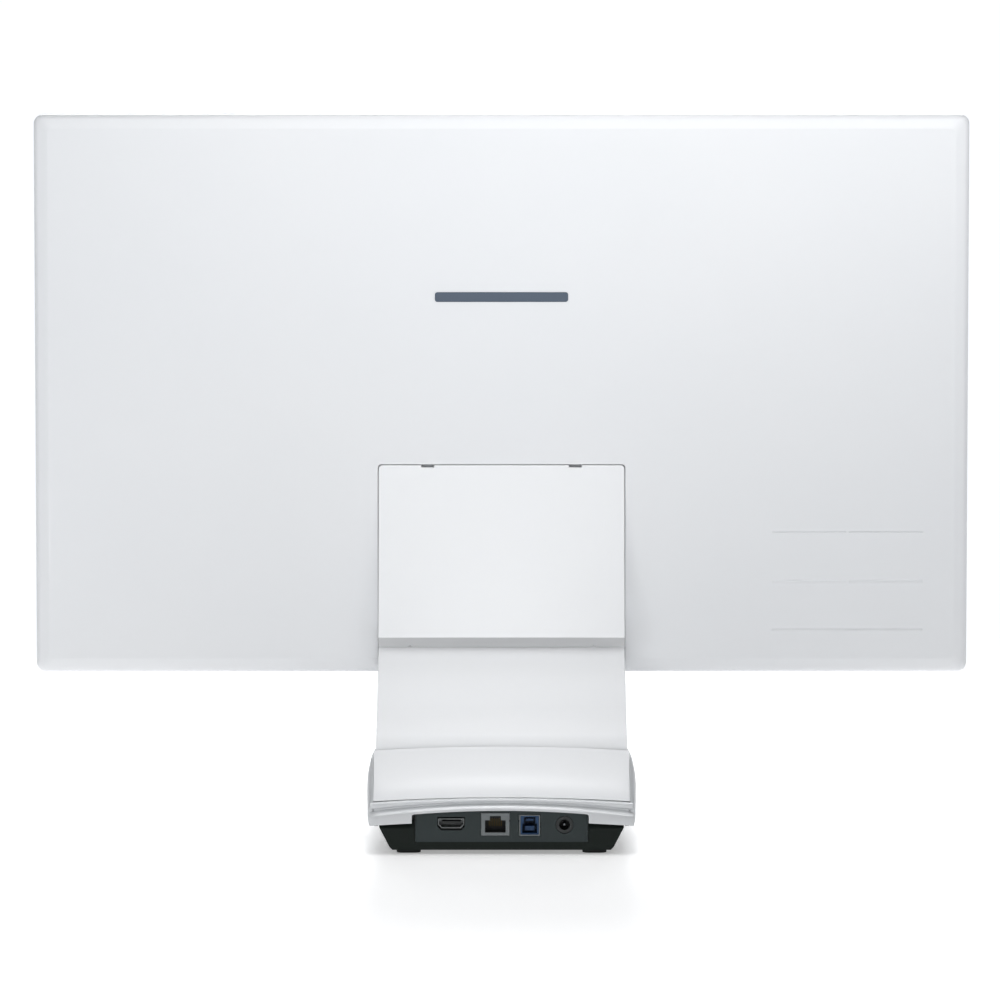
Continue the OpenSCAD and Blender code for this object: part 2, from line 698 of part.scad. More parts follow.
module rubber_feet() {
  color([0.12, 0.12, 0.12]) for (x = [-54, 54], y = [-74, 74])
    translate([x, y, 0]) linear_extrude(foot_h) rounded_rect(14, 20, 4);
}

module port_panel() {
  lan_z = [lan_z0, lan_z0 + lan_h];
  usb_z = [usb_b_z0 + 0.6, usb_b_z0 + usb_b_h + 0.2];
  color([0.17, 0.2, 0.2]) difference() {
    box(-50, 50, port_y - 2, port_y, panel_z, panel_top);
    front_prism([[hdmi_x - 6, hdmi_z - 3.9], [hdmi_x + 6, hdmi_z - 3.9], [hdmi_x + 8, hdmi_z - 1.6], [hdmi_x + 8, hdmi_z + 3.9],
                 [hdmi_x - 8, hdmi_z + 3.9], [hdmi_x - 8, hdmi_z - 1.6]], port_y - 3, port_y + 1);
    box(lan_x - 8.4, lan_x + 8.4, port_y - 3, port_y + 1, lan_z[0] - 0.2, lan_z[1] + 0.2);
    box(usb_b_x - 6.3, usb_b_x + 6.3, port_y - 3, port_y + 1, usb_z[0], usb_z[1]);
    rod_y(port_y - 3, port_y + 1, 5.2, dc_x, dc_z);
  }
}

module hdmi_shell() {
  w = 7.5;
  h = 2.8;
  outer = [[-w + 2, -h], [w - 2, -h], [w, -h + 2], [w, h], [-w, h], [-w, -h + 2]];
  inner = [for (p = outer) [p[0] * 0.94, p[1] * 0.84]];
  color("dimgray") translate([hdmi_x, 0, hdmi_z]) difference() {
    front_prism(outer, port_y - 13, port_y - 1.2);
    front_prism(inner, port_y - 12, port_y);
  }
}

module hdmi_insert() {
  color([0.05, 0.05, 0.05]) {
    box(hdmi_x - 5.4, hdmi_x + 5.4, port_y - 11.9, port_y - 3, hdmi_z - 0.1, hdmi_z + 1);
    box(hdmi_x - 7, hdmi_x + 7, port_y - 13, port_y - 4, board_top + e, hdmi_z - 2.85);
  }
}

lan_y0 = port_y - 16;
lan_z0 = board_top + 0.2;
lan_h = 13;

module lan_shell() {
  // a folded metal box with a T-shaped mouth
  color("silver") difference() {
    box(lan_x - 8.2, lan_x + 8.2, lan_y0, port_y + 0.3, lan_z0, lan_z0 + lan_h);
    box(lan_x - 7.8, lan_x + 7.8, lan_y0 + 0.4, port_y - 0.3, lan_z0 + 0.4, lan_z0 + lan_h - 0.4);
    box(lan_x - 6, lan_x + 6, port_y - 2, port_y + 1, lan_z0 + 1.7, lan_z0 + 8.9);
    box(lan_x - 3.2, lan_x + 3.2, port_y - 2, port_y + 1, lan_z0 + 8.8, lan_z0 + 11.4);
  }
}

module lan_insert() {
  color([0.06, 0.06, 0.06]) difference() {
    box(lan_x - 7.7, lan_x + 7.7, lan_y0 + 0.5, port_y - 0.4, lan_z0 + 0.5, lan_z0 + lan_h - 0.5);
    box(lan_x - 6, lan_x + 6, lan_y0 + 3.5, port_y + 1, lan_z0 + 1.7, lan_z0 + 8.9);
    box(lan_x - 3.2, lan_x + 3.2, lan_y0 + 6, port_y + 1, lan_z0 + 8.8, lan_z0 + 11.4);
  }
}

module lan_contacts() {
  // eight spring fingers on the upper rear of the cavity
  color("gold") for (i = [0:7]) box(lan_x - 3.75 + i * 1.02, lan_x - 3.4 + i * 1.02, lan_y0 + 3.5 + e, lan_y0 + 5.4, lan_z0 + 4, lan_z0 + 8.5);
}

usb_b_z0 = 10.1;
usb_b_h = 12.85;

module usb_b_shell() {
  color("silver") difference() {
    box(usb_b_x - 6, usb_b_x + 6, port_y - 16, port_y + 0.3, usb_b_z0 + 0.85, usb_b_z0 + usb_b_h);
    box(usb_b_x - 5.4, usb_b_x + 5.4, port_y - 15.5, port_y + 1, usb_b_z0 + 1.45, usb_b_z0 + usb_b_h - 0.4);
  }
}

module usb_b_insert() {
  z = usb_b_z0 + 1.5;
  color([0.05, 0.25, 0.5]) {
    difference() {
      box(usb_b_x - 5.35, usb_b_x + 5.35, port_y - 15.4, port_y - 0.4, z, z + 10.9);
      box(usb_b_x - 4.3, usb_b_x + 4.3, port_y - 13, port_y + 1, z + 0.7, z + 6.4);
      box(usb_b_x - 3.4, usb_b_x + 3.4, port_y - 13, port_y + 1, z + 6.3, z + 10.2);
    }
    box(usb_b_x - 2.7, usb_b_x + 2.7, port_y - 13.1, port_y - 3, z + 2, z + 4.6);
    box(usb_b_x - 2.2, usb_b_x + 2.2, port_y - 13.1, port_y - 3, z + 7.6, z + 8.9);
  }
}

module dc_jack_body() {
  color([0.05, 0.05, 0.05]) difference() {
    union() {
      box(dc_x - 5.4, dc_x + 5.4, port_y - 14, port_y - 2.3, board_top + e, dc_z + 5.4);
      rod_y(port_y - 2.4, port_y - 0.3, 4.9, dc_x, dc_z);
    }
    rod_y(port_y - 12, port_y + 1, 3.1, dc_x, dc_z);
  }
}

module dc_jack_pin() {
  color("silver") {
    rod_y(port_y - 12, port_y - 2, 0.9, dc_x, dc_z);
    translate([dc_x, port_y - 2, dc_z]) sphere(r = 0.9);
  }
}

module usb_a_shells() {
  color("silver") for (y = usb_a_y) difference() {
    box(60.5, 78.2, y - usb_a_w / 2 + 0.15, y + usb_a_w / 2 - 0.15, usb_a_z - usb_a_h / 2 + 0.1, usb_a_z + usb_a_h / 2 - 0.1);
    box(61, 80, y - usb_a_w / 2 + 0.5, y + usb_a_w / 2 - 0.5, usb_a_z - usb_a_h / 2 + 0.45, usb_a_z + usb_a_h / 2 - 0.45);
  }
}

module usb_a_inserts() {
  color([0.05, 0.25, 0.5]) for (y = usb_a_y) {
    box(61 + e, 63, y - usb_a_w / 2 + 0.6, y + usb_a_w / 2 - 0.6, usb_a_z - usb_a_h / 2 + 0.5, usb_a_z + usb_a_h / 2 - 0.5);
    box(62.9, 76.6, y - usb_a_w / 2 + 1, y + usb_a_w / 2 - 1, usb_a_z + 0.3, usb_a_z + 2.1);
  }
}

module usb_board() {
  color("seagreen") box(55, 68, usb_a_y[0] - 10, usb_a_y[1] + 10, usb_board_z, usb_board_z + usb_board_t);
}

module main_board() {
  color("seagreen") difference() {
    union() {
      box(-38, 38, -17, 68, board_z, board_top);
      box(-50, 50, 67, port_y - 2.4, board_z, board_top);
    }
    for (p = board_posts) translate([p[0], p[1], 0]) cylinder(r = 1.6, h = 20);
  }
}

module board_chips() {
  color([0.1, 0.1, 0.1]) {
    box(-14, 12, 6, 32, board_top, board_top + 2);
    box(20, 33, -6, 7, board_top, board_top + 1.4);
    box(-28, -15, 46, 59, board_top, board_top + 1.6);
    box(-33, -22, -6, 8, board_top, board_top + 1.2);
  }
  color("silver") for (x = [14, 22], y = [48, 57]) translate([x, y, board_top]) cylinder(r = 3, h = 7);
}

module heat_sink() {
  z = board_top + 2;
  color("silver") {
    box(-18, 16, 2, 36, z, z + 2);
    for (i = [0:8]) box(-18 + i * 4.1, -16.8 + i * 4.1, 2, 36, z + 2 - e, z + 6.3);
  }
}

module speakers() {
  z = foot_h + floor_t;
  for (s = [-1, 1]) translate([s * speaker_x, speaker_y, z]) {
    color([0.15, 0.15, 0.15]) difference() {
      box(-9.6, 9.6, -18.5, 18.5, 0, 7.4);
      translate([0, 0, -1]) cylinder(r = 8, h = 5);
    }
    color("dimgray") difference() {
      cylinder(r1 = 7.8, r2 = 4, h = 3);
      translate([0, 0, -e]) cylinder(r1 = 7.2, r2 = 3.2, h = 2.4);
    }
  }
}

module key_board() {
  z = foot_h + floor_t;
  color("seagreen") box(-46, 62.5, button_y - 5, button_y + 3.5, z, z + 1.6);
  // switch under the power button
  color("silver") box(button_x - 3, button_x + 3, button_y - 3, button_y + 3, z + 1.6, z + 4.4);
  color("black") translate([button_x, button_y, z + 4.4]) cylinder(r = 1.5, h = 1);
}

module power_button() {
  switch_top = foot_h + floor_t + 5.4;
  proud = 0.4;
  y0 = button_y - 8;
  y1 = button_y + 8;
  color("gray") union() {
    translate([button_x, button_y, switch_top + button_travel + 0.05]) cylinder(r = 1.6, h = 2);
    intersection() {
      translate([button_x, button_y, switch_top + button_travel + 0.6]) cylinder(r = button_r, h = 10);
      side_prism([[y0, 0], [y1, 0], [y1, deck_z(y1) + proud], [y0, deck_z(y0) + proud]], button_x - 9, button_x + 9);
    }
  }
}

base_chassis();
base_frame();
hinge_bracket_left();
hinge_bracket_right();
base_top_cover();
side_trim_left();
side_trim_right();
rear_trim();
front_trim();
port_panel();
hdmi_shell();
hdmi_insert();
lan_shell();
lan_insert();
lan_contacts();
usb_b_shell();
usb_b_insert();
dc_jack_body();
dc_jack_pin();
usb_a_shells();
usb_a_inserts();
main_board();
board_chips();
heat_sink();
usb_board();
speakers();
rubber_feet();
base_screws();
frame_screws();
touch_strip();
key_board();
power_button();
neck_frame();
neck_rear_cover();
neck_front_cover();
neck_screws();
neck_cable();
lower_hinge_shafts();
lower_hinge_washers();
lower_hinge_nuts();
upper_hinge_shafts();
upper_hinge_washers();
upper_hinge_nuts();
rear_cover();
hinge_cover();
front_bezel();
lcd_cell();
light_guide();
led_bar();
backlight_tray();
timing_board();
head_bracket();
head_bracket_screws();
badge();
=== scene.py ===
"""Looks of the hub display: smooth outer shells, materials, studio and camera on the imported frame.

Lengths are in millimetres and are turned into metres where a mesh is made. +Y is the socket side.
"""

import json
import math

import bpy
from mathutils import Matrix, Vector


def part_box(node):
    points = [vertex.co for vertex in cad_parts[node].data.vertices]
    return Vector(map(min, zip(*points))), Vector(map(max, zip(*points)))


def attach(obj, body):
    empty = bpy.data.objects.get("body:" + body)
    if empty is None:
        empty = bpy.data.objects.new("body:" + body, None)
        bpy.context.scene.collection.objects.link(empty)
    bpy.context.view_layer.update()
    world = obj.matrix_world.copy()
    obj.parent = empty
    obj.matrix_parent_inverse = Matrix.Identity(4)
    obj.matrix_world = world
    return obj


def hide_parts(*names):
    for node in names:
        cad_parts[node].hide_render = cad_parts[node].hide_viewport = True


MM = 0.001
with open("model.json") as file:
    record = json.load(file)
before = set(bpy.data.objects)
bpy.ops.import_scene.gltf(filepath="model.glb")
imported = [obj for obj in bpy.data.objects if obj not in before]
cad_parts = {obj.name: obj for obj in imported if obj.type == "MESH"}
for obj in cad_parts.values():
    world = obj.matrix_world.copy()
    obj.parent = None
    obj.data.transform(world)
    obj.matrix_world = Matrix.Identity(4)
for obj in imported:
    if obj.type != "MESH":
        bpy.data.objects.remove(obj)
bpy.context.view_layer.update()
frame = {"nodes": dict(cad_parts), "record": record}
nodes = frame["nodes"]


def mm_box(node):
    low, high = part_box(node)
    return [v / MM for v in low], [v / MM for v in high]


# ---------------------------------------------------------------- sizes from the frame

(HEAD_X0, HEAD_FRONT, HEAD_BOTTOM), (HEAD_X1, HEAD_REAR, HEAD_TOP) = mm_box("rear_cover")
HEAD_W = HEAD_X1 - HEAD_X0
HEAD_H = HEAD_TOP - HEAD_BOTTOM
HEAD_MID = (HEAD_TOP + HEAD_BOTTOM) / 2
HEAD_WALL = 2.2
HEAD_CORNER = 5.4
POCKET_FLOOR = mm_box("head_bracket")[0][1]
POCKET_LINER = 1.6

(_, _, COVER_LIP), (COVER_X1, COVER_PROUD, COVER_TOP) = mm_box("hinge_cover")
COVER_WALL = 2.0
COVER_EDGE = COVER_LIP + 6.3  # Z of the cover's proudest line
LIP_IN = 4.9                  # how far the lip runs in below that line
BULGE = COVER_PROUD - HEAD_REAR
COVER_CORNER = 2.2
COVER_CURVE = 1.6             # the higher, the later the cover swells on its way down
POCKET_GAP = 0.45
POCKET_HALF = COVER_X1 + POCKET_GAP
POCKET_CORNER = 2.4

joints = {j["name"]: j for j in frame["record"]["behaviour"]["joints"]}
LOWER_AXIS = [v / MM for v in joints["neck_tilt"]["pos_m"][1:]]
UPPER_AXIS = [v / MM for v in joints["screen_tilt"]["pos_m"][1:]]
NECK_LEN = math.dist(LOWER_AXIS, UPPER_AXIS)
NECK_LEAN = math.atan2(LOWER_AXIS[0] - UPPER_AXIS[0], UPPER_AXIS[1] - LOWER_AXIS[1])
NECK_HALF_TOP = 71.5
NECK_HALF_FOOT = 73.2
NECK_REAR = 8.0
NECK_FRONT = 6.5
NECK_WALL = 2.0
BARREL_R = 11.0

TOP_HALF = mm_box("base_top_cover")[1][0]
FRONT_Y = mm_box("front_trim")[0][1]
REAR_Y = mm_box("rear_trim")[1][1]
SEAM_Z = mm_box("rear_trim")[1][2] + 0.3
TRIM_HALF = mm_box("rear_trim")[1][0]
SIDE_HALF = mm_box("side_trim_right")[1][0]
TOP_FRONT = FRONT_Y + 3
TOP_REAR = REAR_Y - 1.4
TOP_WALL = 2.0
NOSE_Y = FRONT_Y + 6.5  # where the rounding of the front edge ends and the deck starts
DECK_Z = 13.9           # height of the deck there
CROWN_R = 1180.0
CREST_Z = 58.0          # height of the hump in front of the neck
# the hump's front and its rear slope are concave arcs between these ends, as (y, z)
HUMP_FRONT = ((8.0, 23.0), (43.5, CREST_Z))
HUMP_REAR = ((66.6, 60.0), (TOP_REAR, SEAM_Z - 1.5))
FRONT_R = 39.0
REAR_R = 48.5


# ---------------------------------------------------------------- curves

def arc(a, b, r, n=12):
    """Points of an arc of radius r from a to b, with its centre on the left of the way from a to b."""
    dx, dy = b[0] - a[0], b[1] - a[1]
    length = math.hypot(dx, dy)
    h = math.sqrt(r * r - length * length / 4)
    cx, cy = (a[0] + b[0]) / 2 - h * dy / length, (a[1] + b[1]) / 2 + h * dx / length
    s = math.atan2(a[1] - cy, a[0] - cx)
    turn = (math.atan2(b[1] - cy, b[0] - cx) - s + math.pi) % (2 * math.pi) - math.pi
    return [(cx + r * math.cos(s + turn * i / n), cy + r * math.sin(s + turn * i / n)) for i in range(n + 1)]


def sweep(c, r, start, end, n=12):
    """Points on a circle about c, between two angles in degrees."""
    angles = [math.radians(start + (end - start) * i / n) for i in range(n + 1)]
    return [(c[0] + r * math.cos(t), c[1] + r * math.sin(t)) for t in angles]


def circle(c, r, n):
    """The n points of a closed circle about c."""
    return sweep(c, r, 0, 360 - 360 / n, n - 1)


def fillet(points, r, n=5):
    """Rounds every corner of a closed outline to about radius r."""
    out = []
    count = len(points)
    for i, p in enumerate(points):
        p = Vector(p)
        a = Vector(points[i - 1]) - p
        b = Vector(points[(i + 1) % count]) - p
        angle = a.angle(b)
        if angle > math.radians(165):
            out.append(tuple(p))
            continue
        cut = min(r / math.tan(angle / 2), a.length * 0.45, b.length * 0.45)
        start, end = p + a.normalized() * cut, p + b.normalized() * cut
        for k in range(n + 1):
            t = k / n
            out.append(tuple(start * (1 - t) ** 2 + p * 2 * t * (1 - t) + end * t ** 2))
    return out


def rounded_rect(w, h, r, cx=0.0, cz=0.0, n=10):
    """Closed outline, anticlockwise, of a rectangle with round corners."""
    out = []
    for sx, sz, start in ((1, -1, -90), (1, 1, 0), (-1, 1, 90), (-1, -1, 180)):
        out += sweep((cx + sx * (w / 2 - r), cz + sz * (h / 2 - r)), r, start, start + 90, n)
    return out


def smooth_step(v, low, high):
    t = min(1.0, max(0.0, (v - low) / (high - low)))
    return t * t * (3 - 2 * t)


# ---------------------------------------------------------------- meshes

def new_object(name, verts, faces):
    mesh = bpy.data.meshes.new(name)
    mesh.from_pydata([[c * MM for c in v] for v in verts], [], faces)
    mesh.update()
    obj = bpy.data.objects.new(name, mesh)
    bpy.context.scene.collection.objects.link(obj)
    return obj


def loft(name, rings):
    """A closed solid through rings of equal length. Its faces are turned outwards afterwards."""
    n = len(rings[0])
    verts = [p for ring in rings for p in ring]
    faces = []
    for k in range(len(rings) - 1):
        for i in range(n):
            j = (i + 1) % n
            faces.append((k * n + i, k * n + j, (k + 1) * n + j, (k + 1) * n + i))
    faces.append(tuple(reversed(range(n))))
    faces.append(tuple((len(rings) - 1) * n + i for i in range(n)))
    obj = new_object(name, verts, faces)
    face_outwards(obj)
    return obj


def face_outwards(obj):
    """Flips a closed mesh whose volume is negative."""
    volume = 0.0
    mesh = obj.data
    mesh.calc_loop_triangles()
    for tri in mesh.loop_triangles:
        a, b, c = (mesh.vertices[i].co for i in tri.vertices)
        volume += a.dot(b.cross(c))
    if volume < 0:
        mesh.flip_normals()


def prism_x(name, outline, x0, x1, steps=1):
    """A prism along X whose side view is a list of (y, z)."""
    xs = [x0 + (x1 - x0) * i / steps for i in range(steps + 1)]
    return loft(name, [[(x, y, z) for y, z in outline] for x in xs])


def prism_y(name, outline, y0, y1):
    """A prism along Y whose front view is a list of (x, z)."""
    return loft(name, [[(x, y, z) for x, z in outline] for y in (y0, y1)])


def prism_z(name, outline, z0, z1):
    """A prism along Z whose plan is a list of (x, y)."""
    return loft(name, [[(x, y, z) for x, y in outline] for z in (z0, z1)])


def block(x0, x1, y0, y1, z0, z1):
    return prism_x("block", [(y0, z0), (y1, z0), (y1, z1), (y0, z1)], x0, x1)


def bake(obj):
    """Turns the object's modifiers into its mesh."""
    bpy.context.view_layer.update()
    graph = bpy.context.evaluated_depsgraph_get()
    mesh = bpy.data.meshes.new_from_object(obj.evaluated_get(graph))
    old = obj.data
    obj.modifiers.clear()
    obj.data = mesh
    bpy.data.meshes.remove(old)


def boolean(obj, tool, operation="DIFFERENCE"):
    mod = obj.modifiers.new("boolean", "BOOLEAN")
    mod.solver = "MANIFOLD"
    mod.operation = operation
    mod.object = tool
    bake(obj)
    mesh = tool.data
    bpy.data.objects.remove(tool, do_unlink=True)
    bpy.data.meshes.remove(mesh)


def round_edges(obj, width, angle=40, segments=3):
    mod = obj.modifiers.new("edges", "BEVEL")
    mod.width = width * MM
    mod.segments = segments
    mod.limit_method = "ANGLE"
    mod.angle_limit = math.radians(angle)
    mod.use_clamp_overlap = True
    bake(obj)


def smooth(obj, angle=32):
    """Smooth shading that keeps the edges sharper than the angle."""
    mesh = obj.data
    mesh.shade_smooth()
    mesh.set_sharp_from_angle(angle=math.radians(angle))


def move_points(obj, rule):
    """Moves every vertex by a rule from (x, y, z) to (x, y, z), in millimetres."""
    for v in obj.data.vertices:
        v.co = Vector(rule(v.co.x / MM, v.co.y / MM, v.co.z / MM)) * MM
    obj.data.update()


# ---------------------------------------------------------------- materials

def node_tree(name):
    mat = bpy.data.materials.new(name)
    mat.use_nodes = True
    tree = mat.node_tree
    shader = next(n for n in tree.nodes if n.type == "BSDF_PRINCIPLED")
    coords = tree.nodes.new("ShaderNodeTexCoord")
    return mat, tree, shader, coords.outputs["Object"]


def noise(tree, coords, scale, detail=3.0, stretch=None):
    """A noise texture in object space. Stretch scales the three axes, for brushed metal."""
    if stretch:
        mapping = tree.nodes.new("ShaderNodeMapping")
        mapping.inputs["Scale"].default_value = stretch
        tree.links.new(coords, mapping.inputs["Vector"])
        coords = mapping.outputs["Vector"]
    tex = tree.nodes.new("ShaderNodeTexNoise")
    tex.inputs["Scale"].default_value = scale
    tex.inputs["Detail"].default_value = detail
    tree.links.new(coords, tex.inputs["Vector"])
    return tex.outputs["Fac"]


# most of a noise texture's values lie between these two
NOISE_LOW, NOISE_HIGH = 0.3, 0.7


def remap(tree, value, low, high):
    node = tree.nodes.new("ShaderNodeMapRange")
    node.inputs["From Min"].default_value = NOISE_LOW
    node.inputs["From Max"].default_value = NOISE_HIGH
    node.inputs["To Min"].default_value = low
    node.inputs["To Max"].default_value = high
    tree.links.new(value, node.inputs["Value"])
    return node.outputs["Result"]


def two_tones(tree, value, a, b):
    ramp = tree.nodes.new("ShaderNodeValToRGB")
    ramp.color_ramp.elements[0].position = NOISE_LOW
    ramp.color_ramp.elements[1].position = NOISE_HIGH
    ramp.color_ramp.elements[0].color = (*a, 1)
    ramp.color_ramp.elements[1].color = (*b, 1)
    tree.links.new(value, ramp.inputs["Fac"])
    return ramp.outputs["Color"]


def add_bump(tree, shader, height, strength, distance):
    bump = tree.nodes.new("ShaderNodeBump")
    bump.inputs["Strength"].default_value = strength
    bump.inputs["Distance"].default_value = distance
    tree.links.new(height, bump.inputs["Height"])
    tree.links.new(bump.outputs["Normal"], shader.inputs["Normal"])


def finish(name, color, rough, variation=0.04, spread=0.04, tone_scale=14, grain=900, grain_depth=0.01,
           metallic=0.0, coat=0.0, coat_rough=0.04, ior=1.46, stretch=None, specular=0.5):
    """A finish whose tone, gloss and fine relief all vary a little over the surface."""
    mat, tree, shader, coords = node_tree(name)
    dark = [c * (1 - variation) for c in color]
    light = [min(1.0, c * (1 + variation)) for c in color]
    broad = noise(tree, coords, tone_scale, 4, stretch)
    fine = noise(tree, coords, grain, 2, stretch)
    tree.links.new(two_tones(tree, broad, dark, light), shader.inputs["Base Color"])
    tree.links.new(remap(tree, fine, max(0.02, rough - spread), rough + spread), shader.inputs["Roughness"])
    add_bump(tree, shader, fine, 0.5, grain_depth * MM)
    shader.inputs["Metallic"].default_value = metallic
    shader.inputs["Coat Weight"].default_value = coat
    shader.inputs["Coat Roughness"].default_value = coat_rough
    shader.inputs["IOR"].default_value = ior
    shader.inputs["Specular IOR Level"].default_value = specular
    return mat


def circuit_board():
    """Green solder mask over a net of fine tracks."""
    mat, tree, shader, coords = node_tree("board_green")
    cells = tree.nodes.new("ShaderNodeTexBrick")
    cells.inputs["Scale"].default_value = 300
    cells.inputs["Mortar Size"].default_value = 0.06
    cells.inputs["Color1"].default_value = (0.012, 0.1, 0.04, 1)
    cells.inputs["Color2"].default_value = (0.016, 0.12, 0.05, 1)
    cells.inputs["Mortar"].default_value = (0.05, 0.22, 0.09, 1)
    tree.links.new(coords, cells.inputs["Vector"])
    tree.links.new(cells.outputs["Color"], shader.inputs["Base Color"])
    tree.links.new(remap(tree, noise(tree, coords, 200), 0.28, 0.4), shader.inputs["Roughness"])
    add_bump(tree, shader, cells.outputs["Fac"], 0.4, 0.03 * MM)
    return mat


def screen_glass():
    """The switched-off panel: near black, with a fine anti-glare grain."""
    mat, tree, shader, coords = node_tree("screen_glass")
    broad = noise(tree, coords, 6, 2)
    grain = noise(tree, coords, 5000, 1)
    tone = two_tones(tree, broad, (0.006, 0.007, 0.01), (0.01, 0.011, 0.015))
    tree.links.new(tone, shader.inputs["Base Color"])
    tree.links.new(remap(tree, grain, 0.16, 0.24), shader.inputs["Roughness"])
    add_bump(tree, shader, grain, 0.3, 0.003 * MM)
    shader.inputs["IOR"].default_value = 1.5
    return mat


def pearl_white():
    """White pearl lacquer: a faint cool shift in the tone, a flake grain and a thin clear coat."""
    mat, tree, shader, coords = node_tree("pearl_white")
    broad = noise(tree, coords, 5, 3)
    flake = noise(tree, coords, 7000, 1)
    tone = two_tones(tree, broad, (0.70, 0.714, 0.733), (0.719, 0.73, 0.745))
    tree.links.new(tone, shader.inputs["Base Color"])
    tree.links.new(remap(tree, flake, 0.30, 0.38), shader.inputs["Roughness"])
    add_bump(tree, shader, flake, 0.25, 0.002 * MM)
    shader.inputs["Coat Weight"].default_value = 0.12
    shader.inputs["Coat Roughness"].default_value = 0.1
    shader.inputs["Specular IOR Level"].default_value = 0.25
    shader.inputs["IOR"].default_value = 1.46
    return mat


MATERIALS = {
    "pearl_white": pearl_white(),
    "white_gloss": finish("white_gloss", (0.775, 0.787, 0.802), 0.42, variation=0.01, tone_scale=9,
                          grain=3500, grain_depth=0.002, coat=0.12, coat_rough=0.25),
    "silver_gloss": finish("silver_gloss", (0.60, 0.615, 0.63), 0.36, variation=0.015, spread=0.03,
                           tone_scale=20, grain=6000, grain_depth=0.001, metallic=0.25,
                           coat=0.2, coat_rough=0.2),
    "dark_plastic": finish("dark_plastic", (0.006, 0.010, 0.008), 0.5, variation=0.12, spread=0.08,
                           grain=1600, grain_depth=0.03, specular=0.22),
    "port_grey": finish("port_grey", (0.023, 0.032, 0.033), 0.48, variation=0.08, spread=0.06,
                        grain=2200, grain_depth=0.012, specular=0.35),
    "socket_black": finish("socket_black", (0.019, 0.022, 0.022), 0.42, variation=0.1, grain=1500),
    "socket_dark": finish("socket_dark", (0.2, 0.21, 0.21), 0.34, metallic=0.9, grain=1200,
                          grain_depth=0.006),
    "socket_metal": finish("socket_metal", (0.19, 0.205, 0.21), 0.36, variation=0.06, metallic=1.0,
                           grain=700, grain_depth=0.006, stretch=(1, 1, 8)),
    # the gold is dimmed far below bare gold: painted shade for contacts deep in the socket
    "gold_contacts": finish("gold_contacts", (0.10, 0.075, 0.035), 0.34, metallic=1.0, grain=2000),
    "usb_blue": finish("usb_blue", (0.007, 0.042, 0.115), 0.42, variation=0.1, grain=1500,
                       grain_depth=0.008),
    "board_green": circuit_board(),
    "chip_black": finish("chip_black", (0.02, 0.02, 0.021), 0.5, variation=0.15, grain=1200,
                         grain_depth=0.02),
    "bare_aluminium": finish("bare_aluminium", (0.7, 0.71, 0.72), 0.36, metallic=1.0, grain=300,
                             stretch=(1, 1, 20)),
    "zinc_steel": finish("zinc_steel", (0.5, 0.51, 0.52), 0.38, variation=0.1, tone_scale=60, metallic=1.0),
    "screw_steel": finish("screw_steel", (0.36, 0.36, 0.37), 0.3, variation=0.1, metallic=1.0, grain=1500),
    "washer_brass": finish("washer_brass", (0.62, 0.45, 0.2), 0.3, variation=0.08, metallic=1.0, grain=1500),
    "foot_rubber": finish("foot_rubber", (0.012, 0.013, 0.013), 0.75, variation=0.2, grain=1800,
                          grain_depth=0.04),
    "touch_black": finish("touch_black", (0.008, 0.008, 0.01), 0.12, variation=0.1, spread=0.02,
                          grain=300, grain_depth=0.001, coat=0.6),
    "cable_black": finish("cable_black", (0.02, 0.02, 0.02), 0.6, variation=0.3, grain=800,
                          grain_depth=0.1, stretch=(4, 1, 1)),
    "screen_glass": screen_glass(),
    "guide_acrylic": finish("guide_acrylic", (0.85, 0.88, 0.88), 0.1, variation=0.01, grain=500, ior=1.49),
    "led_strip": finish("led_strip", (0.8, 0.74, 0.46), 0.4, variation=0.1, tone_scale=90),
    "slate_grey": finish("slate_grey", (0.075, 0.098, 0.135), 0.35, variation=0.05, grain=2500,
                         grain_depth=0.004),
}
LIP_SHADE_TONE = 0.6          # how much of the white's tone the lip of the hinge cover keeps under its painted shade
LIP_SHADE_FADE = (0.6, 0.3)   # the painted shade fades in between these distances below the cover's proudest line


def painted_shade_lip():
    """The white of the covers with painted shade: a greyer lip below the hinge cover's proudest line stands
    for the shade there.
    """
    mat = MATERIALS["white_gloss"].copy()
    mat.name = "white_gloss_lip"
    tree = mat.node_tree
    shader = next(n for n in tree.nodes if n.type == "BSDF_PRINCIPLED")
    coords = next(n for n in tree.nodes if n.type == "TEX_COORD")
    axes = tree.nodes.new("ShaderNodeSeparateXYZ")
    tree.links.new(coords.outputs["Object"], axes.inputs["Vector"])
    share = tree.nodes.new("ShaderNodeMapRange")
    share.inputs["From Min"].default_value = (COVER_EDGE - LIP_SHADE_FADE[0]) * MM
    share.inputs["From Max"].default_value = (COVER_EDGE - LIP_SHADE_FADE[1]) * MM
    share.inputs["To Min"].default_value = LIP_SHADE_TONE
    tree.links.new(axes.outputs["Z"], share.inputs["Value"])
    tone = tree.nodes.new("ShaderNodeVectorMath")
    tone.operation = "SCALE"
    tree.links.new(shader.inputs["Base Color"].links[0].from_socket, tone.inputs[0])
    tree.links.new(share.outputs["Result"], tone.inputs["Scale"])
    tree.links.new(tone.outputs["Vector"], shader.inputs["Base Color"])
    return mat


def paint(obj, name):
    obj.data.materials.clear()
    obj.data.materials.append(MATERIALS[name])


def stand_for(obj, body, node, slot_name, angle=32):
    """The piece rides on the body, takes the place of the CAD node and gets its finish."""
    smooth(obj, angle)
    paint(obj, slot_name)
    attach(obj, body)
    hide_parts(node)


# ---------------------------------------------------------------- screen head

def head_ring(inset, y, corner):
    outline = rounded_rect(HEAD_W - 2 * inset, HEAD_H - 2 * inset, corner, 0, HEAD_MID)
    return [(x, y, z) for x, z in outline]


ROLL_R = 4.2
ROLL_STEPS = 10
BEVEL_IN = 8.0
BEVEL_SLOPE = 74.0  # degrees between the rim's side and its bevel
# the label fields: both ends of their lines, and half of the gap in the two upper lines
LABEL_X0, LABEL_X1 = -246.9, -158.4
LABEL_MID = (LABEL_X0 + LABEL_X1) / 2
LABEL_RIB = 0.8
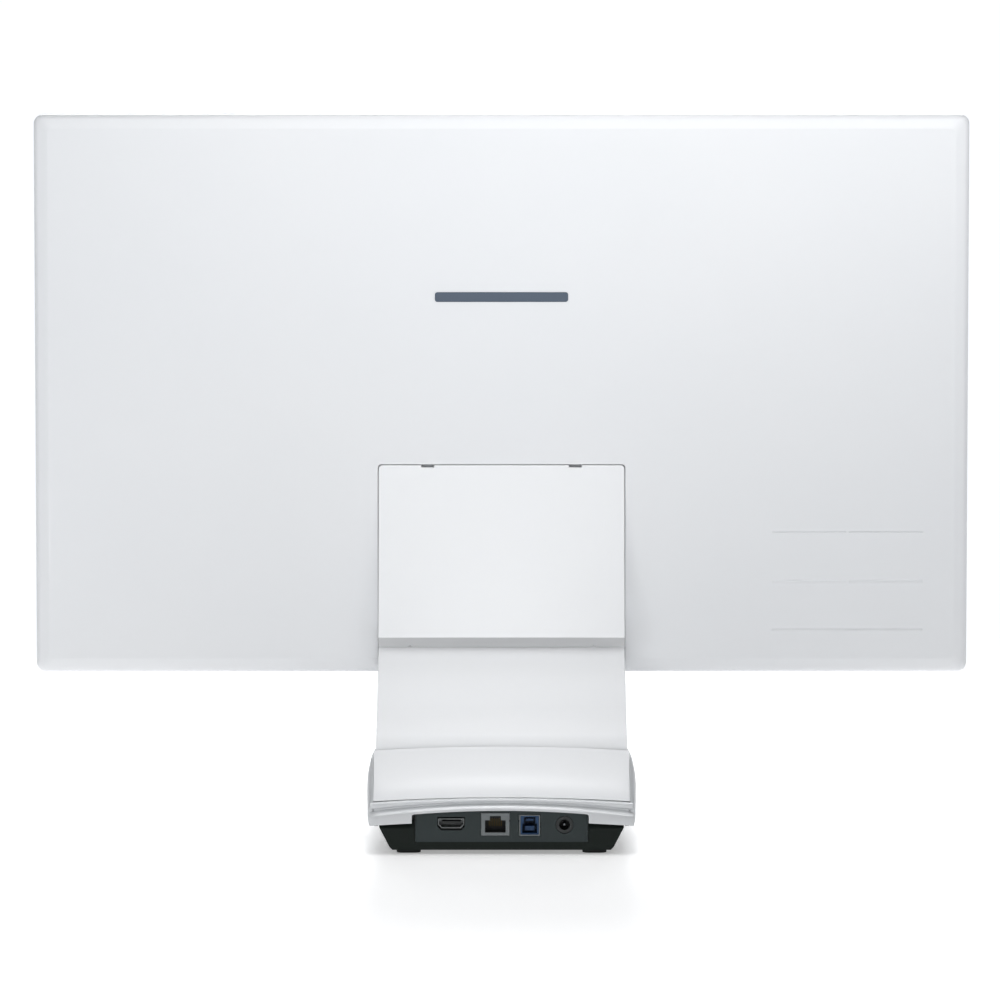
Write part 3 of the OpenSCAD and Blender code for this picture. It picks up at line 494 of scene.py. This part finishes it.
# each line's section, as (distance behind the back, z)
UPPER_LINE = [(0.4, 183.75), (-0.5, 182.45), (0.2, 182.1)]
MIDDLE_LINE = [(0.4, 155.1), (-0.5, 153.8), (0.3, 151.6)]
LOWER_LINE = [(0.15, 125.8), (-0.5, 125.6), (0.3, 123.4)]
SEAT_GAP = 0.1   # around the badge
SEAT_DEEP = 0.6
# the bracket's screw holes in the floor of the pocket, as (x, z)
HOLES = [(x, z) for x in (-50, 50) for z in (140, 200)]
HOLE_R = 2.1


def rear_shell():
    # the rim's section as (inset, y): front edge, side, roll, bevel and the crease at the flat back
    slope = math.radians(BEVEL_SLOPE)
    roll_in = ROLL_R * (1 - math.cos(slope))
    roll_end = HEAD_REAR - (BEVEL_IN - roll_in) / math.tan(slope)
    roll_start = roll_end - ROLL_R * math.sin(slope)
    section = [(0.6, HEAD_FRONT), (0.18, HEAD_FRONT + 0.18), (0, HEAD_FRONT + 0.6)]
    for i in range(ROLL_STEPS + 1):
        t = slope * i / ROLL_STEPS
        section.append((ROLL_R * (1 - math.cos(t)), roll_start + ROLL_R * math.sin(t)))
    section += [(BEVEL_IN - d, HEAD_REAR - d / math.tan(slope)) for d in (1.2, 0.3)]
    section += [(BEVEL_IN + 0.2, HEAD_REAR - 0.01), (BEVEL_IN + 0.7, HEAD_REAR)]
    obj = loft("rear_shell", [head_ring(d, y, HEAD_CORNER - 0.35 * d) for d, y in section])
    # the hollow behind the panel
    wall = HEAD_WALL
    hollow = [(wall, HEAD_FRONT - 1), (wall, roll_start - 2), (wall + 1.5, roll_end - 2)]
    hollow += [(BEVEL_IN + 1.5, HEAD_REAR - wall)]
    boolean(obj, loft("hollow", [head_ring(d, y, max(1.0, HEAD_CORNER - 0.5 * d)) for d, y in hollow]))
    # the pocket that the neck folds into
    pocket_top = COVER_TOP + POCKET_GAP
    liner = POCKET_HALF + POCKET_LINER
    boolean(obj, block(-liner, liner, POCKET_FLOOR - POCKET_LINER, HEAD_REAR - 1,
                       HEAD_BOTTOM + 1, pocket_top + POCKET_LINER), "UNION")
    pocket = [(-POCKET_HALF, HEAD_BOTTOM - 5), (POCKET_HALF, HEAD_BOTTOM - 5),
              (POCKET_HALF, pocket_top), (-POCKET_HALF, pocket_top)]
    boolean(obj, prism_y("pocket", fillet(pocket, POCKET_CORNER), POCKET_FLOOR, HEAD_REAR + 5))
    # three shallow lines that bound the label fields
    halves = [(LABEL_X0, LABEL_MID - LABEL_RIB), (LABEL_MID + LABEL_RIB, LABEL_X1)]
    whole = [(LABEL_X0, LABEL_X1)]
    for line, spans in ((UPPER_LINE, halves), (MIDDLE_LINE, halves), (LOWER_LINE, whole)):
        for a, b in spans:
            boolean(obj, prism_x("line", [(HEAD_REAR + d, z) for d, z in line], a, b))
    (bx0, _, bz0), (bx1, _, bz1) = mm_box("badge")
    seat_size = (bx1 - bx0 + 2 * SEAT_GAP, bz1 - bz0 + 2 * SEAT_GAP)
    seat = rounded_rect(*seat_size, 1.5, 0, (bz0 + bz1) / 2, 4)
    boolean(obj, prism_y("seat", seat, HEAD_REAR - SEAT_DEEP, HEAD_REAR + 1))
    for x, z in HOLES:
        boolean(obj, prism_y("hole", circle((x, z), HOLE_R, 24), POCKET_FLOOR - 4, POCKET_FLOOR + 2))
    stand_for(obj, "screen", "rear_cover", "pearl_white", 12)


RELEASE_X, RELEASE_HALF, RELEASE_DEEP = 43.2, 3.8, 1.4  # two slots in the hinge cover's top edge
NOTCH_X, NOTCH_HALF, NOTCH_DEEP = 53.5, 0.8, 0.9        # two small notches in its lip


def cover_y(z):
    """How far back the hinge cover's skin is at a height."""
    return HEAD_REAR + BULGE * ((COVER_TOP - z) / (COVER_TOP - COVER_EDGE)) ** COVER_CURVE


def hinge_cover():
    rows = 30
    half = COVER_X1
    zs = [COVER_TOP + (COVER_EDGE - COVER_TOP) * i / rows for i in range(rows + 1)]
    curve = [(cover_y(z), z) for z in zs]
    lip = [(COVER_PROUD - LIP_IN, COVER_LIP)]
    foot = POCKET_FLOOR
    obj = prism_x("hinge_plate", [(foot, COVER_TOP)] + curve + lip + [(foot, COVER_LIP)], -half, half)
    # the two upper corners are round; the outline ends well below the plate
    tall = 300
    top = rounded_rect(2 * half, tall, COVER_CORNER, 0, COVER_TOP - tall / 2)
    boolean(obj, prism_y("corners", top, 0, 90), "INTERSECT")
    round_edges(obj, 0.5, 55, 3)
    # the hollow behind the plate and its lip
    under = COVER_TOP - COVER_WALL
    inner = [(foot - 1, under), (cover_y(under) - COVER_WALL, under)]
    inner += [(y - COVER_WALL, z) for y, z in curve if COVER_EDGE < z < under]
    inner_lip = [(COVER_PROUD - COVER_WALL - 0.6, COVER_EDGE), (COVER_PROUD - LIP_IN - 1.2, COVER_LIP - 1)]
    inner += inner_lip + [(foot - 1, COVER_LIP - 1)]
    boolean(obj, prism_x("inner", inner, COVER_WALL - half, half - COVER_WALL))
    # the sides stop above the neck's head
    open_top = COVER_EDGE + 3
    sides = [(foot - 1, open_top), (COVER_PROUD - COVER_WALL - 0.6, open_top)] + inner_lip
    sides += [(foot - 1, COVER_LIP - 1)]
    boolean(obj, prism_x("sides", sides, -half - 5, half + 5))
    for x in (-RELEASE_X, RELEASE_X):
        boolean(obj, block(x - RELEASE_HALF, x + RELEASE_HALF, HEAD_REAR - 5, HEAD_REAR + 2,
                           COVER_TOP - RELEASE_DEEP, COVER_TOP + 1))
    for x in (-NOTCH_X, NOTCH_X):
        boolean(obj, block(x - NOTCH_HALF, x + NOTCH_HALF, HEAD_REAR, HEAD_REAR + 30,
                           COVER_LIP - 1, COVER_LIP + NOTCH_DEEP))
    stand_for(obj, "screen", "hinge_cover", "white_gloss", 30)
    # painted shade: the white of the hinge cover's lip is darkened
    obj.data.materials[0] = painted_shade_lip()


# ---------------------------------------------------------------- neck

FOOT_AXIS = (0.0, -NECK_LEN)
FLARE_FROM = 36.0           # how far below the upper axis the flare starts
FLARE_ANGLE = 20.0          # degrees on the foot at which it ends
FLARE_R = 48.0
FRONT_TOP = 7.0             # how far below the upper axis the front cover starts
FRONT_END = 32.0            # how far below the upper axis its flat stretch ends
FRONT_MEET = 148.0          # degrees on the foot at which the front reaches it
FOOT_OPEN = (-50.0, 194.0)  # the foot is open below, between these degrees
CAP_X, CAP_HALF = 72.0, 1.05
EAR_X, EAR_HALF = 44.5, 3.5


def neck_outline(t):
    """Side view of the neck's skin, inset by t, as (behind the centre plane, above the upper axis)."""
    r = BARREL_R - t
    open_from, open_to = (FOOT_OPEN[0] + 1, FOOT_OPEN[1] - 1) if t else FOOT_OPEN
    meet = math.radians(FLARE_ANGLE)
    flare_end = (FOOT_AXIS[0] + r * math.cos(meet), FOOT_AXIS[1] + r * math.sin(meet))
    out = [(0, 2 * NECK_REAR)] if t else []
    out += sweep((0, 0), NECK_REAR - t, 90, 0, 16)
    out += arc((NECK_REAR - 0.6 - t, -FLARE_FROM), flare_end, FLARE_R + t, 16)
    out += sweep(FOOT_AXIS, r, FLARE_ANGLE - 3, open_from, 16)
    if t:
        for a in (math.radians(open_from), math.radians(open_to)):
            out.append((2 * BARREL_R * math.cos(a), FOOT_AXIS[1] + 2 * BARREL_R * math.sin(a)))
    out += sweep(FOOT_AXIS, r, open_to, FRONT_MEET, 16)
    out += [(t - NECK_FRONT, -FRONT_END), (t - NECK_FRONT, 2 * NECK_REAR if t else -FRONT_TOP)]
    return out


def neck_block(t, edge):
    """The neck as one solid, inset by t, widening towards its foot, with its long edges rounded."""
    obj = prism_x("neck", neck_outline(t), -1, 1)
    top, bottom = 20.0, FOOT_AXIS[1] - 2 * BARREL_R

    def widen(x, y, z):
        share = (z - top) / (bottom - top)
        half = NECK_HALF_TOP + (NECK_HALF_FOOT + 0.5 - NECK_HALF_TOP) * share - t
        return (math.copysign(half, x), y, z)

    move_points(obj, widen)
    if edge:
        round_edges(obj, edge, 60, 5)
    return obj


def into_neck(x, y, z):
    c, s = math.cos(NECK_LEAN), math.sin(NECK_LEAN)
    return (x, UPPER_AXIS[0] + y * c - z * s, UPPER_AXIS[1] + y * s + z * c)


def neck_shell(name, node, side):
    obj = neck_block(0, 2.4)
    obj.name = name
    boolean(obj, neck_block(NECK_WALL, 0))
    # round caps close the ends of the foot
    for x in (-CAP_X, CAP_X):
        disc = circle(FOOT_AXIS, BARREL_R - 0.1, 120)
        boolean(obj, prism_x("cap", disc, x - CAP_HALF, x + CAP_HALF), "UNION")
    # each shell loses the half of the neck that the other one covers
    gap = 0.15
    wide, far, low = 90, 60, -120
    if side > 0:
        boolean(obj, block(-wide, wide, -far, gap, low, far))
        # the ears of the head's bracket swing through these slots
        for x in (-EAR_X, EAR_X):
            boolean(obj, block(x - EAR_HALF, x + EAR_HALF, -1, 3.6, 3, NECK_REAR + 1))
    else:
        boolean(obj, block(-wide, wide, -gap, far, low, far))
        boolean(obj, block(-wide, wide, -far, far, -FRONT_TOP, far))
    move_points(obj, into_neck)
    stand_for(obj, "neck", node, "white_gloss", 28)


# ---------------------------------------------------------------- base

def shell_bottom(y):
    """Height of the white cover's lower edge, which rises by 6 mm from front to rear."""
    return 8 + (y - FRONT_Y) * 6 / (REAR_Y - FRONT_Y)


def crown(x, y, z):
    """The hump and the rear trim fall away to the sides."""
    return (x, y, z - x * x / (2 * CROWN_R) * smooth_step(y, 12, 44))


def deck_z(y):
    """Height of the flat deck, from the front edge to the foot of the hump."""
    y1, z1 = HUMP_FRONT[0]
    return DECK_Z + (y - NOSE_Y) * (z1 - DECK_Z) / (y1 - NOSE_Y)


def cover_profile():
    """Side view of the white cover: front edge, deck, hump and rear slope."""
    front = TOP_FRONT
    nose = [(front, shell_bottom(front)), (front, 10.6), (front + 0.35, 11.9), (front + 1.3, 13.0)]
    nose += [(NOSE_Y, DECK_Z)]
    deck = [(y, deck_z(y)) for y in range(-80, 8, 8)]
    return (nose + deck + arc(*HUMP_FRONT, FRONT_R, 24) + arc(*HUMP_REAR, REAR_R, 20)
            + [(TOP_REAR, shell_bottom(REAR_Y))])


def cover_plan(inset):
    """Plan of the white cover, with large round corners in front and small ones behind."""
    w, front, rear = TOP_HALF - inset, TOP_FRONT + inset, TOP_REAR - inset
    large, small = 12 - inset, 1.6
    return (sweep((w - large, front + large), large, -90, 0)
            + sweep((w - small, rear - small), small, 0, 90, 5)
            + sweep((small - w, rear - small), small, 90, 180, 5)
            + sweep((large - w, front + large), large, 180, 270))


def base_top():
    obj = prism_x("base_shell", cover_profile(), -TOP_HALF, TOP_HALF, 28)
    boolean(obj, prism_z("plan", cover_plan(0), -5, 90), "INTERSECT")
    # the hollow below the deck, the hump and the rear slope
    inner = [(FRONT_Y + 5.2, 0), (FRONT_Y + 5.2, 11.2), (FRONT_Y + 7.5, 12)]
    inner += arc((8.5, 21), (45.5, 56), FRONT_R, 16)
    (y0, z0), (y1, z1) = HUMP_REAR
    inner += arc((y0 - 2.2, z0 - 2), (y1 - 1.5, z1 - 2.4), REAR_R, 16)
    inner += [(TOP_REAR - TOP_WALL, 0)]
    hollow = prism_x("hollow", inner, TOP_WALL - TOP_HALF, TOP_HALF - TOP_WALL, 4)
    boolean(hollow, prism_z("plan", cover_plan(TOP_WALL), -10, 90), "INTERSECT")
    boolean(obj, hollow)
    # the round socket for the neck's foot, open above, and the step over the rear trim
    wide = TOP_HALF + 6
    boolean(obj, prism_x("socket", circle(LOWER_AXIS, BARREL_R + 0.6, 60), -wide, wide))
    y, z = LOWER_AXIS
    boolean(obj, block(-wide, wide, y - 9.5, y + 10, z - 4, z + 20))
    boolean(obj, block(-wide, wide, REAR_Y - 12, REAR_Y + 3, -2, SEAM_Z))
    # the lower edge rises behind the neck, so that it stays above the lip's ends
    rise = [(40, 4), (100, 4), (100, 18.4), (80, 18.4), (60, 14.6), (40, 11.8)]
    boolean(obj, prism_x("rise", rise, -wide, wide))
    cut_side_sockets(obj, 0.3)
    # the openings in the deck
    gap = 0.2
    (sx0, sy0, sz0), (sx1, sy1, _) = mm_box("touch_strip")
    boolean(obj, block(sx0 - gap, sx1 + gap, sy0 - gap, sy1 + gap, sz0, 40))
    (px0, py0, _), (px1, py1, _) = mm_box("power_button")
    middle = ((px0 + px1) / 2, (py0 + py1) / 2)
    boolean(obj, prism_z("bore", circle(middle, (px1 - px0) / 2 + 0.15, 60), 3, 40))
    round_edges(obj, 0.45, 48, 3)
    move_points(obj, crown)
    stand_for(obj, "base", "base_top_cover", "white_gloss", 30)


def cut_side_sockets(obj, grow):
    """The two openings in the right side, over the shells that stand in them."""
    (_, y0, z0), (_, y1, z1) = mm_box("usb_a_shells")
    width = 13.1
    for low in (y0, y1 - width):
        y_gap, z_gap = 0.15 + grow, 0.1 + grow
        boolean(obj, block(55, 95, low - y_gap, low + width + y_gap, z0 - z_gap, z1 + z_gap))


def side_trim(name, node, side):
    """A bulging cheek, lofted from front to back between its top and bottom edges."""
    inner_x = TOP_HALF + 0.2
    front, back = FRONT_Y + 14, REAR_Y - 2.6
    hump = arc(*HUMP_FRONT, FRONT_R, 40)
    slope = arc(*HUMP_REAR, REAR_R, 40)

    def edge_z(y):
        if y < HUMP_FRONT[0][0]:
            return deck_z(y)
        for line in (hump, slope):
            for a, b in zip(line, line[1:]):
                if a[0] <= y <= b[0]:
                    return a[1] + (b[1] - a[1]) * (y - a[0]) / max(1e-6, b[0] - a[0])
        return CREST_Z

    rings = []
    stations, rows = 110, 16
    for i in range(stations + 1):
        y = front + (back - front) * i / stations
        top = crown(inner_x, y, min(CREST_Z - 0.2, edge_z(y)))[2] - 0.6
        bottom = shell_bottom(y) + 0.2 + 2.7 * smooth_step(y, 40, back)
        # the bulge is widest a little behind the middle
        bow = math.sqrt(max(0.0, math.sin(math.pi * (0.06 + 0.8 * i / stations))))
        reach = 0.5 + (SIDE_HALF - inner_x - 0.5) * bow
        # out from the top edge, widest half-way down, and part of the way back in below
        ring = []
        for k in range(rows + 1):
            v = k / rows
            if v < 0.5:
                bulge = math.sin(math.pi / 2 * v / 0.5) ** 0.75
            else:
                bulge = 1 - 0.35 * ((v - 0.5) / 0.5) ** 2
            ring.append((side * (inner_x + reach * bulge), y, top + (bottom - top) * v))
        ring.append((side * inner_x, y, bottom))
        ring.append((side * inner_x, y, (top + bottom) / 2))
        rings.append(ring)
    obj = loft(name, rings)
    boolean(obj, prism_x("notch", circle(LOWER_AXIS, BARREL_R + 1.0, 60), -100, 100))
    if side > 0:
        cut_side_sockets(obj, 0.0)
    round_edges(obj, 0.35, 50, 2)
    stand_for(obj, "base", node, "silver_gloss", 36)


# the section of the rear trim, as (behind its rear face, above the seam):
# ledge, bead, groove, apron, and then the inner side
REAR_LIP = [(-11, -0.25), (-1.8, -0.25), (-0.9, -0.6), (-0.7, -1.2), (-1.0, -1.9), (-2.9, -2.3),
            (-3.1, -3.1), (-1.0, -4.8), (-0.2, -5.9), (0, -7.2), (0, -13.6), (-2.3, -13.6), (-2.5, -7),
            (-4.5, -4.2), (-4.6, -2.4), (-11, -2.4)]
WINDOW_X0, WINDOW_X1, WINDOW_TOP = -50.5, 52.0, 26.0
WING = 2.4  # how thick the trim's ends are, beside the white cover
FAN_AT = 71.0
# how far the lines of the lip spread downwards at FAN_AT, against their distance below the seam
FAN = [(-9, 0), (0, 0), (1.1, 0.85), (2.3, 2.0), (6.1, 2.15), (7.5, 2.0), (12, 0.1), (40, 0)]


def fan(x, y, z):
    """The lip's lines follow the crown and spread towards both ends."""
    depth = SEAM_Z - z
    spread = 0.0
    for (d0, s0), (d1, s1) in zip(FAN, FAN[1:]):
        if d0 <= depth <= d1:
            spread = s0 + (s1 - s0) * (depth - d0) / (d1 - d0)
    return (x, y, z - x * x / (2 * CROWN_R) - spread * (x / FAN_AT) ** 2)


def rear_lip():
    outline = fillet([(REAR_Y + a, SEAM_Z + b) for a, b in REAR_LIP], 0.5, 4)
    half = TRIM_HALF
    obj = prism_x("rear_lip", outline, -half, half, 40)
    for side in (-1, 1):
        a, b = sorted((side * (TOP_HALF - 0.2), side * (half + 5)))
        boolean(obj, block(a, b, REAR_Y - 20, REAR_Y - WING, 0, 60))
    # the opening over the sockets, with round upper corners; its top is arched by the fan
    steps = 24
    width = WINDOW_X1 - WINDOW_X0
    top = [(WINDOW_X1 - width * i / steps, WINDOW_TOP) for i in range(steps + 1)]
    opening = fillet([(WINDOW_X0, 10), (WINDOW_X1, 10)] + top, 1.6, 6)
    boolean(obj, prism_y("window", opening, REAR_Y - 15, REAR_Y + 3))
    round_edges(obj, 0.3, 50, 2)
    move_points(obj, fan)
    stand_for(obj, "base", "rear_trim", "silver_gloss", 30)


# ---------------------------------------------------------------- build

rear_shell()
hinge_cover()
neck_shell("neck_back", "neck_rear_cover", 1)
neck_shell("neck_face", "neck_front_cover", -1)
base_top()
side_trim("cheek_right", "side_trim_right", 1)
side_trim("cheek_left", "side_trim_left", -1)
rear_lip()

# CAD nodes that stay get their finish, and those that show get softened edges
SOFT_EDGES = {
    "base_chassis": 0.4, "port_panel": 0.15, "front_trim": 0.5, "hdmi_shell": 0.12, "lan_shell": 0.12,
    "lan_insert": 0.1, "usb_b_shell": 0.15, "usb_b_insert": 0.1, "dc_jack_body": 0.15, "usb_a_shells": 0.1,
    "rubber_feet": 0.5, "touch_strip": 0.15, "power_button": 0.3, "front_bezel": 0.3, "badge": 0.15,
}
for entry in frame["record"]["subparts"]:
    node = entry["node"]
    obj = nodes[node]
    paint(obj, entry["material_slot"])
    if node in SOFT_EDGES:
        mod = obj.modifiers.new("edges", "BEVEL")
        mod.width = SOFT_EDGES[node] * MM
        mod.segments = 2
        mod.limit_method = "ANGLE"
        mod.angle_limit = math.radians(40)

# ---------------------------------------------------------------- studio

FLOOR_MID = (0, 200)
FLOOR_R = 1500
FLOOR_EDGES = 120
FLOOR_DROP = 0.05  # how far the floor lies below the feet
rim = circle((0, 0), FLOOR_R, FLOOR_EDGES)
floor = new_object("floor", [(FLOOR_MID[0] + x, FLOOR_MID[1] + y, -FLOOR_DROP) for x, y in rim],
                   [tuple(range(FLOOR_EDGES))])
floor_mat, floor_tree, floor_shader, floor_coords = node_tree("studio_floor")
floor_tone = two_tones(floor_tree, noise(floor_tree, floor_coords, 3), (0.89, 0.89, 0.89), (0.91, 0.91, 0.91))
floor_tree.links.new(floor_tone, floor_shader.inputs["Base Color"])
floor_tree.links.new(floor_tone, floor_shader.inputs["Emission Color"])
floor_shader.inputs["Roughness"].default_value = 0.3
floor_shader.inputs["Specular IOR Level"].default_value = 0.12
radius = floor_tree.nodes.new("ShaderNodeVectorMath")
radius.operation = "DISTANCE"
radius.inputs[1].default_value = (FLOOR_MID[0] * MM, FLOOR_MID[1] * MM, 0)
floor_tree.links.new(floor_coords, radius.inputs[0])
NEAR_GLOW = 0.36
FAR_GLOW = 0.78


def by_radius(start, end, inner, outer, socket):
    """Sets a socket of the floor's shader to inner within radius start and to outer beyond radius end."""
    ramp = floor_tree.nodes.new("ShaderNodeMapRange")
    ramp.interpolation_type = "SMOOTHSTEP"
    ramp.inputs["From Min"].default_value = start
    ramp.inputs["From Max"].default_value = end
    ramp.inputs["To Min"].default_value = inner
    ramp.inputs["To Max"].default_value = outer
    floor_tree.links.new(radius.outputs["Value"], ramp.inputs["Value"])
    floor_tree.links.new(ramp.outputs["Result"], floor_shader.inputs[socket])


# the floor glows like a light table, more so away from the base, and fades into the white below the horizon
by_radius(0.1, 0.4, NEAR_GLOW, FAR_GLOW, "Emission Strength")
by_radius(0.45, 1.45, 1.0, 0.0, "Alpha")
floor.data.materials.append(floor_mat)

SKY = 0.12        # strength of the sky above the horizon
BACKDROP = 1.035  # strength of the backdrop behind the screen side, and below the horizon
world = bpy.data.worlds.new("studio")
bpy.context.scene.world = world
world.use_nodes = True
sky = world.node_tree
direction = sky.nodes.new("ShaderNodeTexCoord")
axes = sky.nodes.new("ShaderNodeSeparateXYZ")
sky.links.new(direction.outputs["Generated"], axes.inputs["Vector"])


def sky_ramp(axis, low, high):
    """1 where the direction's component is below low, 0 where it is above high."""
    ramp = sky.nodes.new("ShaderNodeMapRange")
    ramp.interpolation_type = "SMOOTHSTEP"
    ramp.inputs["From Min"].default_value = low
    ramp.inputs["From Max"].default_value = high
    ramp.inputs["To Min"].default_value = 1.0
    ramp.inputs["To Max"].default_value = 0.0
    sky.links.new(axes.outputs[axis], ramp.inputs["Value"])
    return ramp.outputs["Result"]


white = sky.nodes.new("ShaderNodeMath")
white.operation = "MAXIMUM"
sky.links.new(sky_ramp("Y", -0.97, -0.90), white.inputs[0])
sky.links.new(sky_ramp("Z", -0.02, 0.04), white.inputs[1])
strength = sky.nodes.new("ShaderNodeMapRange")
strength.inputs["To Min"].default_value = SKY
strength.inputs["To Max"].default_value = BACKDROP
sky.links.new(white.outputs["Value"], strength.inputs["Value"])
background = sky.nodes["Background"]
background.inputs["Color"].default_value = (0.975, 0.995, 1.03, 1)
sky.links.new(strength.outputs["Result"], background.inputs["Strength"])


def area_light(name, place, aim, width, height, power):
    """A soft light at a place, aimed at a point, both in millimetres."""
    data = bpy.data.lights.new(name, "AREA")
    data.shape = "RECTANGLE"
    data.size = width * MM
    data.size_y = height * MM
    data.energy = power
    obj = bpy.data.objects.new(name, data)
    obj.location = Vector(place) * MM
    obj.rotation_euler = (Vector(aim) - Vector(place)).to_track_quat("-Z", "Y").to_euler()
    bpy.context.scene.collection.objects.link(obj)
    return obj


def spot_light(name, place, aim, reach, power, source=60):
    """A narrow light with a soft rim that reaches this far around the point it is aimed at."""
    obj = area_light(name, place, aim, 1, 1, power)
    obj.data.type = "SPOT"
    data = bpy.data.lights[name]  # looked up again, because a light of a new type has other settings
    data.spot_size = 2 * math.atan(reach / math.dist(place, aim))
    data.spot_blend = 1.0
    data.shadow_soft_size = source * MM


BACK = (0, HEAD_REAR, HEAD_MID)
LIGHTS = [
    ("overhead", (0, 150, 2500), (0, 150, 0), 500, 500, 13.5),
    ("front_fill", (0, -2200, 1500), (0, -40, 150), 1500, 800, 22),
    ("top_strip", (0, 350, 610), (0, HEAD_REAR, 360), 640, 140, 0.88),
    ("top_right", (-330, 280, 570), (-230, HEAD_REAR, 360), 200, 120, 0.24),
    ("low_left", (400, 500, 140), (200, HEAD_REAR, 120), 160, 160, 0.40),
    # strips that mirror in the bevels of the rim
    ("bevel_top", (0, 3000, 1950), BACK, 2200, 200, 4.8),
    ("bevel_right", (-1850, 2600, 190), BACK, 260, 380, 2.6),
    ("bevel_left", (1850, 2600, 190), BACK, 260, 380, 1.3),
]
SPOTS = [
    ("snoot_back", (0, 900, 1000), (0, 60, 100), 140, 4.0),
    ("snoot_top", (0, 330, 1400), (0, 66, 110), 130, 5.5),
    ("broad", (0, 1600, 900), (-30, HEAD_REAR, 295), 380, 20, 300),
]
for light in LIGHTS:
    area_light(*light)
for light in SPOTS:
    spot_light(*light)

camera = bpy.data.cameras.new("camera")
camera_obj = bpy.data.objects.new("camera", camera)
bpy.context.scene.collection.objects.link(camera_obj)
DISTANCE = 4010.0
ELEVATION = math.radians(5)
AIM = Vector((0.9, 35, 201.4))
camera.sensor_width = 36
camera.lens = 246.6
camera_obj.location = (AIM + DISTANCE * Vector((0, math.cos(ELEVATION), math.sin(ELEVATION)))) * MM
camera_obj.rotation_euler = (AIM * MM - camera_obj.location).to_track_quat("-Z", "Y").to_euler()
camera.clip_end = 100
bpy.context.scene.camera = camera_obj
bpy.context.scene.view_settings.view_transform = "Standard"
